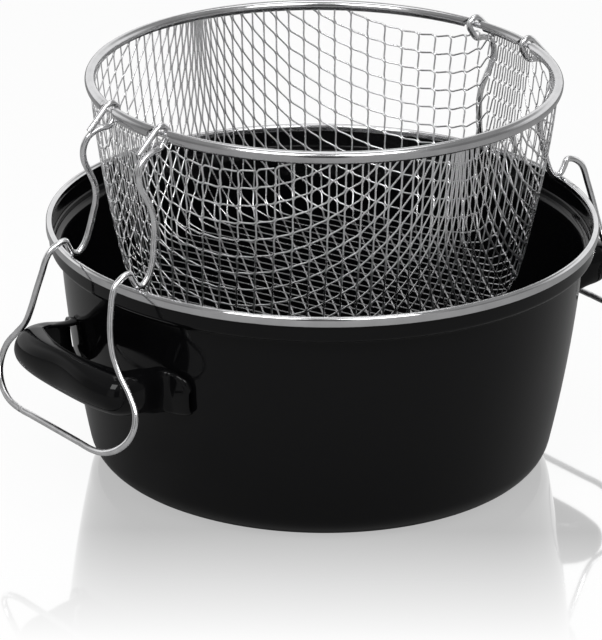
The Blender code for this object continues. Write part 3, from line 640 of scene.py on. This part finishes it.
# %% Bail sizes
BAIL_WIRE = 2.9 * MM
CUT_ROUNDING = 0.35 * MM
EYE_HALF_SPACING = 19.0 * MM
EYE_REACH = math.sqrt(RING_RADIUS ** 2 - EYE_HALF_SPACING ** 2)
EYE_PLAY = 0.7 * MM
EYE_WRAP = radians(215.0)
TAIL_LENGTH = 13.6 * MM
TAIL_SLOPE = radians(46.0)
TAIL_SHARES = np.array([1.0, 0.99, 0.9, 0.6, 0.3])
WAVE_REACH = 13.6 * MM
HOOK_HALF_SPACING = 24.7 * MM
HUMP_RISE = 6.6 * MM
# Shares of the way to the rim where the wire dips, and of the hump's rise just past it
DIP_SHARES, HUMP_SHARES = (0.82, 1.0), (0.55, 0.95)
BAIL_STEPS = 6
# Nearly along the ring, and never quite along the wire
BAIL_UP = (0.03, 1.0, 0.02)
GRIP_HALF_WIDTH = 51.5 * MM
GRIP_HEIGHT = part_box("bail_left")[0][2] + BAIL_WIRE / 2
# The curve swings out a little between its points, so the grip is set this far inside the box
GRIP_MARGIN = 0.06 * MM
GRIP_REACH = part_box("bail_right")[1][0] - BAIL_WIRE / 2 - GRIP_MARGIN
# Points of the wave and of the loop, as shares of the way outwards, aside and down
WAVE_SHARES = np.array([
    (0.06, 0.0, 0.1), (0.45, 0.13, 0.112), (0.83, 0.25, 0.155), (0.99, 0.38, 0.235),
    (0.95, 0.45, 0.325), (0.71, 0.50, 0.425), (0.51, 0.52, 0.52), (0.46, 0.58, 0.62),
    (0.54, 0.74, 0.73), (0.63, 0.90, 0.83), (0.80, 0.98, 0.93)])
LOOP_SHARES = np.array([
    (0.17, 0.485, 0.02), (0.35, 0.495, 0.07), (0.46, 0.52, 0.18), (0.545, 0.56, 0.30),
    (0.585, 0.615, 0.415), (0.58, 0.71, 0.525), (0.58, 0.86, 0.625), (0.62, 0.965, 0.705),
    (0.7, 1.0, 0.785), (0.81, 0.97, 0.865), (0.91, 0.87, 0.935), (0.98, 0.73, 0.98),
    (1.0, 0.56, 1.0), (1.0, 0.35, 1.0)])
print(f"eyes {EYE_REACH / MM:.2f} mm from the axis, grip {GRIP_REACH / MM:.2f} mm")


# %% Bail path
def through(p, steps):
    """A curve through points: each stretch is a cubic that leaves and arrives along its neighbours' way."""
    gap = np.linalg.norm(np.diff(p, axis=0), axis=1)
    before = np.concatenate([p[:1], p[:-2]])
    after = np.concatenate([p[2:], p[-1:]])
    gap_before = np.linalg.norm(p[:-1] - before, axis=1)
    gap_after = np.linalg.norm(after - p[1:], axis=1)
    leave = (p[1:] - before) * (gap / np.maximum(gap_before + gap, gap))[:, None]
    arrive = (after - p[:-1]) * (gap / np.maximum(gap_after + gap, gap))[:, None]
    t = (np.arange(steps) / steps)[None, :, None]
    curve = (p[:-1, None] * (2 * t ** 3 - 3 * t * t + 1) + leave[:, None] * (t ** 3 - 2 * t * t + t)
             + p[1:, None] * (3 * t * t - 2 * t ** 3) + arrive[:, None] * (t ** 3 - t * t))
    return np.concatenate([curve.reshape(-1, 3), p[-1:]])


def rim_crossing():
    """The dip, on a circle about the eye, and the hump's rise, as (out, up) from the eye's axis."""
    crown = (TRIM_RADIUS - TRIM_INNER_RADIUS) / 2
    top = math.sqrt((TRIM_INNER_RADIUS + crown) ** 2 - HOOK_HALF_SPACING ** 2) - EYE_REACH
    over = RING_HEIGHT - POT_TOP + crown
    hook = math.hypot(top, over) - crown - BAIL_WIRE / 2 - SEAT_GAP
    lean = math.atan2(top, over)
    rest = POT_TOP - RING_HEIGHT + BAIL_WIRE / 2
    dip = [(hook * math.sin(share * lean), -hook * math.cos(share * lean)) for share in DIP_SHARES]
    hump = [(top + (k + 1) * crown, rest + share * HUMP_RISE) for k, share in enumerate(HUMP_SHARES)]
    return dip + hump


def bail_leg():
    """One leg from its cut tail to the straight of the grip, as (out, aside, up) from the eye's axis."""
    radius = (RING_WIRE + BAIL_WIRE) / 2 + EYE_PLAY
    loop = arc((0.0, 0.0), radius, pi / 2 - TAIL_SLOPE, EYE_WRAP, 20)
    slope = np.array([math.cos(TAIL_SLOPE), -math.sin(TAIL_SLOPE)])
    tail = loop[0] + slope * TAIL_LENGTH * TAIL_SHARES[:, None]
    eye = np.concatenate([tail, loop])
    eye = np.stack([eye[:, 0], np.full(len(eye), EYE_HALF_SPACING), eye[:, 1]], axis=1)
    drop = RING_HEIGHT - POT_TOP
    widening = HOOK_HALF_SPACING - EYE_HALF_SPACING
    wave = WAVE_SHARES * (WAVE_REACH, widening, -drop) + (0.0, EYE_HALF_SPACING, 0.0)
    crossing = [(out, HOOK_HALF_SPACING, up) for out, up in rim_crossing()]
    start = np.array([TRIM_RADIUS - EYE_REACH, 0.0, POT_TOP - RING_HEIGHT + BAIL_WIRE / 2 + HUMP_RISE])
    end = np.array([GRIP_REACH - EYE_REACH, GRIP_HALF_WIDTH, GRIP_HEIGHT - RING_HEIGHT])
    outer = start + LOOP_SHARES * (end - start)
    points = np.concatenate([eye[-1:], wave, crossing, outer])
    return np.concatenate([eye[:-1], through(points, BAIL_STEPS)])


def make_bail(name, side, node):
    """One leg, and the same leg mirrored and walked back, as one wire."""
    leg = bail_leg()
    path = np.concatenate([leg, leg[::-1] * (1, -1, 1)])
    path = path * (side, 1, 1) + (side * EYE_REACH, 0.0, RING_HEIGHT)
    points, thread = tube(path, BAIL_WIRE / 2, BAIL_UP, rounded=CUT_ROUNDING)
    bail = new_piece(name, points, tube_faces(*points.shape[:2]), WIRE_STEEL, node, node, thread)


make_bail("bail_right_wire", 1, "bail_right")
make_bail("bail_left_wire", -1, "bail_left")

# %% [markdown]
# ## Bands over the ring
# Four strips are rolled over the ring wire and the raw edge of the net. A strip's section is a half
# circle over the wire with two legs: the outer one curls in under the wire, and the inner one is
# short. At each eye of a bail two strips leave a notch. Its circle cuts their legs shorter and
# shorter, until only a leaf-shaped tip of the crown is left.

# %% Bands
BAND_SHEET = 0.5 * MM
BAND_CROWN = 2.4 * MM
BAND_LEG = 3.3 * MM
BAND_INNER_LEG = 1.4 * MM
BAND_LEG_CURVE = 5.0 * MM
NOTCH_RADIUS = 7.6 * MM
NOTCH_DROP = 4.4 * MM
BAND_TIP = 3.9 * MM
BAND_COLUMNS = 22
BAND_LEAST_ROWS, BAND_ROWS_PER_RADIAN = 60, 90


def band_half_length(away):
    """Length of the strip's section from its crown to its edge, at a distance from the notch's middle.

    The notch is a circle about a point on the strip's lower edge. It leaves the part of the leg that
    lies above it and, where it reaches the crown, the part of the crown that lies above it.
    """
    cut = np.sqrt(np.clip(NOTCH_RADIUS ** 2 - away ** 2, 0, None))
    above = NOTCH_DROP - cut
    around = np.arccos(np.clip(-above / BAND_CROWN, 0, 1)) * BAND_CROWN
    return np.where(above > 0, BAND_CROWN * pi / 2 + np.minimum(above, BAND_LEG), around)


def band_profile(run, depth):
    """(out, up) of the section at a length from the crown: a half circle, then legs that curl in."""
    bend = np.clip(run / BAND_CROWN, -pi / 2, pi / 2)
    leg = (np.abs(run) - np.abs(bend) * BAND_CROWN) / BAND_LEG_CURVE
    radius = BAND_CROWN - depth
    out = np.sin(bend) * (radius - (BAND_LEG_CURVE - depth) * (1 - np.cos(leg)))
    return out, np.cos(bend) * radius - (BAND_LEG_CURVE - depth) * np.sin(leg)


def band_points(start, end, steps):
    """The strip as closed sections: out over the crown on its outside, and back on its inside."""
    turn = start + (end - start) * (1 - np.cos(pi * np.arange(steps) / (steps - 1))) / 2
    away = np.minimum(turn - start, end - turn) * RING_RADIUS + BAND_TIP
    last = band_half_length(away)[:, None]
    first = -np.minimum(last, BAND_CROWN * pi / 2 + BAND_INNER_LEG)
    run = first + (last - first) * np.linspace(0, 1, BAND_COLUMNS)[None, :]
    outer, outer_up = band_profile(run, 0.0)
    inner, inner_up = band_profile(run, BAND_SHEET)
    out = RING_RADIUS + np.concatenate([outer, inner[:, ::-1]], axis=1)
    height = RING_HEIGHT + np.concatenate([outer_up, inner_up[:, ::-1]], axis=1)
    return turned(out, turn[:, None], height)


# %% The four bands
# The short strips run between the two eyes of a bail, the long ones from bail to bail
eye = math.asin(EYE_HALF_SPACING / RING_RADIUS)
tip = BAND_TIP / RING_RADIUS
spans = {"right": (-eye, eye), "back": (eye, pi - eye),
         "left": (pi - eye, pi + eye), "front": (pi + eye, 2 * pi - eye)}
for place, (start, end) in spans.items():
    rows = max(BAND_LEAST_ROWS, int((end - start) * BAND_ROWS_PER_RADIAN))
    points = band_points(start + tip, end - tip, rows)
    faces = [face[::-1] for face in tube_faces(*points.shape[:2])]
    band = new_piece(f"band_{place}_rolled", points, faces, BAND_STEEL, "basket",
                     f"rim_band_{place}", sharp=50.0)

# %% [markdown]
# ## The basket's net
# Expanded metal is a sheet with rows of short slits that is pulled until each slit opens into a
# cell. When it is drawn into a cup, the strands keep their length and only the angles between them
# give. So each bond lies one strand's length from its two lower neighbours, on the cup: that is two
# equations for its place. A whole row of bonds is solved at once by Newton's method.
#
# Where the cells close, the strands come to lie against each other and push the net aside. A second
# step works that out by moving all bonds a little, many times over.

# %% Net sizes
NET_PITCH = 8.6 * MM
NET_HALF_ANGLE = radians(25.0)
NET_GRAIN = radians(-93.5)
NET_HALF_DEPTH = 0.55 * MM
STRAND_HALF_WIDTH = 0.43 * MM
STRAND_HALF_THICKNESS = 0.28 * MM
BOND_HALF_LENGTH = 1.0 * MM
BASKET_FLOOR_RADIUS = 79.0 * MM
BASKET_CORNER = 12.0 * MM
BASKET_LEAN_LOW = radians(14.0)
BASKET_LEAN_TOP = radians(5.0)
PAST_RIM = 4 * NET_PITCH
FINE_STEPS = 1200
NORMAL_STEP = 0.6 * MM


# %% The cup
def cup_outline():
    """Middle of the net from the centre of the floor to the ring, and a little straight past it."""
    floor = BASKET_BOTTOM + NET_HALF_DEPTH
    hub = (BASKET_FLOOR_RADIUS, floor + BASKET_CORNER)
    corner = arc(hub, BASKET_CORNER, -pi / 2, -BASKET_LEAN_LOW, 16)
    top = (RING_RADIUS, RING_HEIGHT - RING_WIRE / 2 - SEAT_GAP)
    wall = leaning_curve(corner[-1], top, BASKET_LEAN_LOW, BASKET_LEAN_TOP, 48)
    past = wall[-1] + PAST_RIM * np.array([math.sin(BASKET_LEAN_TOP), math.cos(BASKET_LEAN_TOP)])
    return np.concatenate([[(0.0, floor)], corner, wall[1:], [past]])


CUP = cup_outline()
CUP_RUN = run_along(CUP)
CUP_TOP = CUP_RUN[-2]


def cup_section(distance):
    """(radius, height) of the cup's outline at a distance along it from the centre."""
    return np.interp(distance, CUP_RUN, CUP[:, 0]), np.interp(distance, CUP_RUN, CUP[:, 1])


FINE_RUN = np.linspace(0, CUP_RUN[-1], FINE_STEPS)
FINE_CUP = np.stack(cup_section(FINE_RUN), axis=1)
print(f"the cup's outline is {CUP_TOP / MM:.1f} mm long")


def cup_point(distance, turn):
    """The cup at a distance along its outline and a turn about Z."""
    radius, height = cup_section(distance)
    return turned(radius, turn, height)


def cup_normal(distance, turn):
    """The outward normal: the outline's direction turned a right angle, in the half plane of the turn."""
    low, high = cup_section(np.maximum(distance - NORMAL_STEP, 0)), cup_section(distance + NORMAL_STEP)
    out, up = high[0] - low[0], high[1] - low[1]
    length = np.hypot(out, up)
    return turned(up / length, turn, -out / length)


# %% Draping the bonds
SOLVE_ROUNDS = 10
SOLVE_STEP = NET_PITCH / 1000
LARGEST_MOVE = 4.0 * MM
LEAST_DETERMINANT = 1e-3


def fourth_corners(start, left, right):
    """The cup's points one pitch from both left and right, beyond start, as (distance, turn)."""
    guess = left + right - start
    radius = np.hypot(guess[:, 0], guess[:, 1])
    miss = np.hypot(radius[:, None] - FINE_CUP[:, 0], guess[:, 2:3] - FINE_CUP[:, 1])
    distance = FINE_RUN[np.argmin(miss, axis=1)]
    turn = np.arctan2(guess[:, 1], guess[:, 0])

    def off(place):
        return [np.linalg.norm(place - end, axis=1) - NET_PITCH for end in (left, right)]

    def slopes(place):
        return [(there - here) / SOLVE_STEP for there, here in zip(off(place), now)]

    def cross(a, b):
        return a[0] * b[1] - a[1] * b[0]

    for _ in range(SOLVE_ROUNDS):
        here = cup_point(distance, turn)
        wide = np.maximum(np.hypot(here[:, 0], here[:, 1]), NET_PITCH)
        now = off(here)
        up = slopes(cup_point(distance + SOLVE_STEP, turn))
        around = slopes(cup_point(distance, turn + SOLVE_STEP / wide))
        det = cross(up, around)
        det = np.where(np.abs(det) < LEAST_DETERMINANT, LEAST_DETERMINANT, det)
        distance = distance - np.clip(cross(now, around) / det, -LARGEST_MOVE, LARGEST_MOVE)
        turn = turn - np.clip(cross(up, now) / det, -LARGEST_MOVE, LARGEST_MOVE) / wide
        distance = np.maximum(distance, 0)
    return distance, turn


def drape(count):
    """(distance, turn) of each bond (i, j), both from -count to count, where the sheet reaches."""
    distance = np.full((2 * count + 1, 2 * count + 1), np.nan)
    turn = np.full_like(distance, np.nan)
    steps = np.arange(-count, count + 1)
    distance[:, count] = distance[count, :] = np.abs(steps) * NET_PITCH
    turn[:, count] = NET_GRAIN + NET_HALF_ANGLE + np.where(steps < 0, pi, 0)
    turn[count, :] = NET_GRAIN - NET_HALF_ANGLE + np.where(steps < 0, pi, 0)
    for across in (1, -1):
        for level in range(2, 2 * count + 1):
            i = np.arange(max(1, level - count), min(count, level - 1) + 1)
            j = level - i
            a, b = count + i, count + across * j
            left, right = distance[a - 1, b], distance[a, b - across]
            known = np.isfinite(left + right + distance[a - 1, b - across])
            known &= np.fmin(left, right) < CUP_TOP + NET_PITCH
            if not known.any():
                break
            a, b = a[known], b[known]
            three = [cup_point(distance[p, q], turn[p, q])
                     for p, q in ((a - 1, b - across), (a - 1, b), (a, b - across))]
            d, t = fourth_corners(*three)
            distance[a, b], turn[a, b] = d, t
            distance[-1 - a, -1 - b], turn[-1 - a, -1 - b] = d, t + pi
    return distance, turn


# %% Settling the closed cells
SETTLE_ROUNDS = 400
CLOSED_SPACING = 4 * STRAND_HALF_WIDTH
# Bonds nearer than this to the middle of the floor stay in place
HELD_DISTANCE = 2.5 * NET_PITCH
TINY = 1e-9


def net_errors(here, normal, known):
    """Each error of the net as (first bonds, second bonds, push of the first, where it is wrong).

    A strand that is too long or too short moves its two ends by half of the error each. Two bonds
    side by side that are nearer than two strands' width move apart by half of what is missing.
    """
    low, high, every = slice(0, -1), slice(1, None), slice(None)
    errors = []
    for first, second in (((low, every), (high, every)), ((every, low), (every, high))):
        gap = here[second] - here[first]
        length = np.linalg.norm(gap, axis=-1, keepdims=True) + TINY
        both = (known[first] & known[second])[..., None]
        push = np.where(both, (length - NET_PITCH) / length * gap / 2, 0.0)
        errors.append((first, second, push, both))
    left, right = (low, high), (high, low)
    side = np.cross(here[high, high] - here[low, low], normal[left])
    side /= np.linalg.norm(side, axis=-1, keepdims=True) + TINY
    four = known[left] & known[right] & known[high, high] & known[low, low]
    missing = CLOSED_SPACING - np.sum((here[right] - here[left]) * side, axis=-1)
    tight = (four & (missing > 0))[..., None]
    push = np.where(tight, -missing[..., None] * side / 2, 0.0)
    return errors + [(left, right, push, tight)]


def settle(distance, turn):
    """The draped bonds after closed cells have pushed their neighbours away.

    In each round a bond moves by the mean of all pushes on it, along the cup. Many small rounds
    share the errors out over the net.
    """
    known = ~np.isnan(distance)
    distance, turn = np.where(known, distance, 0.0), np.where(known, turn, 0.0)
    free = (known & (distance > HELD_DISTANCE))[..., None]
    for _ in range(SETTLE_ROUNDS):
        distance = np.clip(distance, 0, CUP_RUN[-1] - MM)
        here, normal = cup_point(distance, turn), cup_normal(distance, turn)
        shift, weight = np.zeros_like(here), np.full(here.shape[:2] + (1,), TINY)
        for first, second, push, wrong in net_errors(here, normal, known):
            shift[first] += push
            shift[second] -= push
            weight[first] += wrong
            weight[second] += wrong
        shift = np.where(free, shift / weight, 0.0)
        around = np.stack([-np.sin(turn), np.cos(turn), np.zeros_like(turn)], axis=-1)
        radius = np.maximum(np.hypot(here[..., 0], here[..., 1]), NET_PITCH)
        distance = distance + np.sum(shift * np.cross(normal, around), axis=-1)
        turn = turn + np.sum(shift * around, axis=-1) / radius
    return np.where(known, distance, np.nan), np.where(known, turn, np.nan)


# The sheet reaches further along closed cells, so it has half as many bonds more
BOND_COUNT = math.ceil(1.5 * CUP_TOP / NET_PITCH)
BOND_DISTANCE, BOND_TURN = settle(*drape(BOND_COUNT))
print(f"net: {int((BOND_DISTANCE < CUP_TOP).sum())} bonds inside the rim")

# %% [markdown]
# ## Strands
# Between two columns of bonds runs one strand that zigzags, lying against its neighbour at every
# bond. It runs a short way straight along each bond and then straight to the next, with its corners
# cut, which is why the cells have round corners. Each strand is a flattened tube, and where it
# crosses the rim it ends there.

# %% Strands as zigzag tubes
STRAND_SIDES = 6
# Two strands overlap a little in a bond, where they are one sheet
LANE_SHARE = 0.96
# The straight part of half a bond, the cut of a corner, and how far along the five points are
BOND_STRAIGHT = 0.7
CORNER_SHARE = 0.14
STRETCH_SHARES = np.array([0.0, 0.09, 0.23, 0.77, 0.91])


def grain_at(points):
    """Unit grain direction at each bond: the sum of the two strand directions through it."""
    def run(axis):
        forward = np.roll(points, -1, axis=axis) - points
        back = points - np.roll(points, 1, axis=axis)
        return np.where(np.isnan(forward), back, forward) + np.where(np.isnan(back), forward, back)

    return unit(run(0) + run(1))


def column_bonds(column, count):
    """Indices of the bonds that the strand between columns touches, alternating from one to the other."""
    m = np.arange(-2 * count, 2 * count)
    i = np.floor_divide(m + column + 1, 2)
    j = m - i
    inside = (np.abs(i) <= count) & (np.abs(j) <= count)
    return i[inside] + count, j[inside] + count, (i - j)[inside] == column


def strand(column, distance, points, normals, grain):
    """(path, normals) of each stretch of one zigzag strand that lies below the rim."""
    i, j, own = column_bonds(column, BOND_COUNT)
    d, along, normal = distance[i, j], grain[i, j], normals[i, j]
    lane = np.where(own, 1.0, -1.0)[:, None] * STRAND_HALF_WIDTH * LANE_SHARE
    center = points[i, j] - np.cross(normal, along) * lane
    end, short = BOND_HALF_LENGTH * along, (1 - BOND_STRAIGHT) * BOND_HALF_LENGTH * along
    leave, arrive = (center + end)[:-1], (center - end)[1:]
    cut = CORNER_SHARE * (arrive - leave)
    path = np.stack([center[:-1], leave - short[:-1], leave + cut,
                     arrive - cut, arrive + short[1:]], axis=1).reshape(-1, 3)
    t = STRETCH_SHARES[None, :, None]
    facing = (normal[:-1, None] * (1 - t) + normal[1:, None] * t).reshape(-1, 3)
    depth = (d[:-1, None] * (1 - t[..., 0]) + d[1:, None] * t[..., 0]).ravel()
    inside = depth <= CUP_TOP
    before, after = np.roll(inside, 1), np.roll(inside, -1)
    # A point just past the rim is drawn back along the strand on to the rim
    past = np.flatnonzero(~inside & (before | after))
    near = np.where(before[past], past - 1, (past + 1) % len(path))
    share = (CUP_TOP - depth[near]) / (depth[past] - depth[near])
    path[past] = path[near] + share[:, None] * (path[past] - path[near])
    keep = (inside | before | after) & np.isfinite(path).all(axis=1)
    ends = np.flatnonzero(np.diff(np.concatenate([[0], keep.astype(int), [0]]))).reshape(-1, 2)
    return [(path[first:last], facing[first:last]) for first, last in ends if last - first > 3]


# %% The net
points = cup_point(BOND_DISTANCE, BOND_TURN)
normals = cup_normal(BOND_DISTANCE, BOND_TURN)
grain = grain_at(points)
angles = 2 * pi * (np.arange(STRAND_SIDES) + 0.5) / STRAND_SIDES
rings, faces, first = [], [], 0
for column in range(-2 * BOND_COUNT, 2 * BOND_COUNT):
    for path, facing in strand(column, BOND_DISTANCE, points, normals, grain):
        flat = rings_along(path, facing, angles, STRAND_HALF_WIDTH, STRAND_HALF_THICKNESS)
        rings.append(flat.reshape(-1, 3))
        faces += tube_faces(len(path), STRAND_SIDES, first)
        first += len(rings[-1])
print(f"net: {len(rings)} strands")
net = new_piece("net_expanded", np.concatenate(rings), faces, NET_STEEL, "basket",
                "basket_net", sharp=80.0)

# %% [markdown]
# ## Floor, light and camera
# Polished steel and black enamel look like themselves only when they have a studio to mirror. This
# one has a white backdrop, darker sides, a dark gap straight in front and grey overhead. Only
# mirrored rays meet those: the camera sees plain white. The floor is pale and, for the camera alone,
# shows a soft mirror image that fades out towards the camera.

# %% Camera
VIEW_TURN = radians(-37.5)
TOWARD_CAMERA = (math.sin(VIEW_TURN), -math.cos(VIEW_TURN), 0.0)
ASIDE = (math.cos(VIEW_TURN), math.sin(VIEW_TURN), 0.0)
FOCAL_PIXELS, CENTER_X, CENTER_Y = 4390.4, 301.28, 296.02
IMAGE_WIDTH, IMAGE_HEIGHT = 602, 640
SENSOR_WIDTH = 36.0
PITCH, ROLL = 0.379, -0.0095
DISTANCE, AIM_HEIGHT, AIM_ASIDE = 2016.0 * MM, 75.6 * MM, -9.35 * MM


def looking(right, up, forward, place):
    """The matrix of a camera or lamp, which looks along its own -Z: its axes and place as columns."""
    matrix = np.eye(4)
    matrix[:3] = np.stack([right, up, -forward, place], axis=1)
    return Matrix(matrix.tolist())


# A long lens at the photograph's angle: it is aimed along Y and then turned about Z
camera = add_object("camera", bpy.data.cameras.new("camera"))
camera.data.sensor_fit = "HORIZONTAL"
camera.data.sensor_width = SENSOR_WIDTH
camera.data.lens = SENSOR_WIDTH * FOCAL_PIXELS / IMAGE_WIDTH
camera.data.shift_x = -(CENTER_X - IMAGE_WIDTH / 2) / IMAGE_WIDTH
camera.data.shift_y = (CENTER_Y - IMAGE_HEIGHT / 2) / IMAGE_WIDTH
forward = np.array([0.0, math.cos(PITCH), -math.sin(PITCH)])
right, up = np.array([1.0, 0.0, 0.0]), np.array([0.0, math.sin(PITCH), math.cos(PITCH)])
level = right * math.cos(ROLL) - up * math.sin(ROLL)
upright = right * math.sin(ROLL) + up * math.cos(ROLL)
place = np.array([AIM_ASIDE, 0.0, AIM_HEIGHT]) - forward * DISTANCE
turn = np.array([[math.cos(VIEW_TURN), -math.sin(VIEW_TURN), 0.0],
                 [math.sin(VIEW_TURN), math.cos(VIEW_TURN), 0.0], [0.0, 0.0, 1.0]])
camera.matrix_world = looking(turn @ level, turn @ upright, turn @ forward, turn @ place)
bpy.context.scene.camera = camera
print(f"camera: a lens of {camera.data.lens:.0f} mm")


# %% World
WHITE = (1.0, 1.0, 1.0, 1.0)
STUDIO_LEVEL = 0.40
TOP_LEVEL = 0.30
# Overhead begins where a ray rises by the first share of its length, and is whole at the second
TOP_START, TOP_END = 0.43, 0.58
# Degrees away from the camera's side, and how light the studio is there in a mirror
AROUND_STOPS = ((0, 0.06), (10, 0.06), (14, 0.45), (42, 0.45),
                (54, 0.22), (95, 0.22), (120, 1.0), (180, 1.0))

# How light a direction is depends on its turn away from the camera's side: the angle whose tangent
# is its reach aside divided by its reach towards the camera
world = bpy.data.worlds.new("studio")
bpy.context.scene.world = world
world.use_nodes = True
tree = world.node_tree
tree.nodes.clear()
where = tree.nodes.new("ShaderNodeTexCoord").outputs["Generated"]
aside = calculate(tree, "ABSOLUTE", along_axis(tree, where, ASIDE))
turn = calculate(tree, "ARCTAN2", aside, along_axis(tree, where, TOWARD_CAMERA))
around = add_node(tree, "ValToRGB", {"Fac": remap(tree, turn, 0.0, 1.0, 0.0, pi)})
stops = around.color_ramp.elements
for number, (degrees, value) in enumerate(AROUND_STOPS):
    stop = stops[number] if number < 2 else stops.new(degrees / 180)
    stop.position, stop.color = degrees / 180, (value, value, value, 1.0)
rise = along_axis(tree, where, (0.0, 0.0, 1.0))
overhead = remap(tree, rise, 0.0, 1.0, TOP_START, TOP_END)
mirrored = blend(tree, overhead, around.outputs["Color"], TOP_LEVEL)
rays = tree.nodes.new("ShaderNodeLightPath").outputs
level = blend(tree, rays["Is Glossy Ray"], STUDIO_LEVEL, mirrored)
inputs = {"Color": WHITE, "Strength": blend(tree, rays["Is Camera Ray"], level, 1.0)}
light = add_node(tree, "Background", inputs)
add_node(tree, "OutputWorld", {"Surface": light.outputs["Background"]})
print("studio:", len(stops), "stops around")


# %% Soft boxes
LAMP_AIM = np.array([0.0, 0.0, 100.0 * MM])


def soft_box(name, turn, height, away, size, power):
    """A square lamp that looks at the pot from a turn about Z, measured from the camera's side."""
    lamp = add_object(name, bpy.data.lights.new(name, "AREA"))
    lamp.data.shape = "SQUARE"
    lamp.data.size = size
    lamp.data.energy = power
    angle = VIEW_TURN - pi / 2 + radians(turn)
    place = np.array([away * math.cos(angle), away * math.sin(angle), height])
    forward = unit(LAMP_AIM - place)
    side = unit(np.cross(forward, (0.0, 0.0, 1.0)))
    lamp.matrix_world = looking(side, np.cross(side, forward), forward, place)
    print(f"{name}: {power} W")


soft_box("soft_box_left", -28.0, 1.5, 1.3, 0.8, 12.0)
soft_box("soft_box_right", 28.0, 1.5, 1.3, 0.8, 12.0)
soft_box("soft_box_top", 180.0, 1.9, 0.5, 1.2, 6.0)


# %% Floor
FLOOR_HALF = 3.0
# How light the matt floor is for the pot and for the camera, which sees most of it glow instead
FLOOR_GREY, FLOOR_WHITE = 0.36, 0.98
GLOW_SHARE = 0.88
MIRROR_ROUGHNESS = 0.04
MIRROR_SHARE = 0.47
# The mirror image fades out over these distances towards the camera, and over these all round
MIRROR_START, MIRROR_END = 92.0 * MM, 208.0 * MM
MIRROR_HALO_START, MIRROR_HALO_END = 240.0 * MM, 340.0 * MM


def floor_material():
    """Near white, with a mirror image for the camera alone that fades out."""
    material = bpy.data.materials.new("pale_floor")
    material.use_nodes = True
    tree = material.node_tree
    tree.nodes.clear()
    camera_ray = tree.nodes.new("ShaderNodeLightPath").outputs["Is Camera Ray"]
    lightness = blend(tree, camera_ray, FLOOR_GREY, FLOOR_WHITE)
    matt = add_node(tree, "BsdfDiffuse", {"Color": lightness}).outputs["BSDF"]
    glow = add_node(tree, "Emission", {"Color": WHITE}).outputs["Emission"]
    inputs = {"Fac": calculate(tree, "MULTIPLY", camera_ray, GLOW_SHARE), 1: matt, 2: glow}
    pale = add_node(tree, "MixShader", inputs).outputs["Shader"]
    inputs = {"Color": WHITE, "Roughness": MIRROR_ROUGHNESS}
    mirror = add_node(tree, "BsdfGlossy", inputs).outputs["BSDF"]
    nearness = along_axis(tree, object_vector(tree), TOWARD_CAMERA)
    fade = remap(tree, nearness, MIRROR_SHARE, 0.0, MIRROR_START, MIRROR_END)
    halo = remap(tree, axis_distance(tree), 1.0, 0.0, MIRROR_HALO_START, MIRROR_HALO_END)
    share = calculate(tree, "MULTIPLY", calculate(tree, "MULTIPLY", fade, halo), camera_ray)
    floor = add_node(tree, "MixShader", {"Fac": share, 1: pale, 2: mirror})
    add_node(tree, "OutputMaterial", {"Surface": floor.outputs["Shader"]})
    return material


# %% The floor
# One square under the pot that reaches far past the picture
mesh = bpy.data.meshes.new("floor")
square = FLOOR_HALF * np.array([(-1, -1, 0), (1, -1, 0), (1, 1, 0), (-1, 1, 0)])
mesh.from_pydata(square.tolist(), [], [(0, 1, 2, 3)])
floor = add_object("floor", mesh)
mesh.materials.append(floor_material())
print("floor:", 2 * FLOOR_HALF, "m wide")

# %% Look settings and the last line
bpy.context.scene.view_settings.view_transform = "Standard"
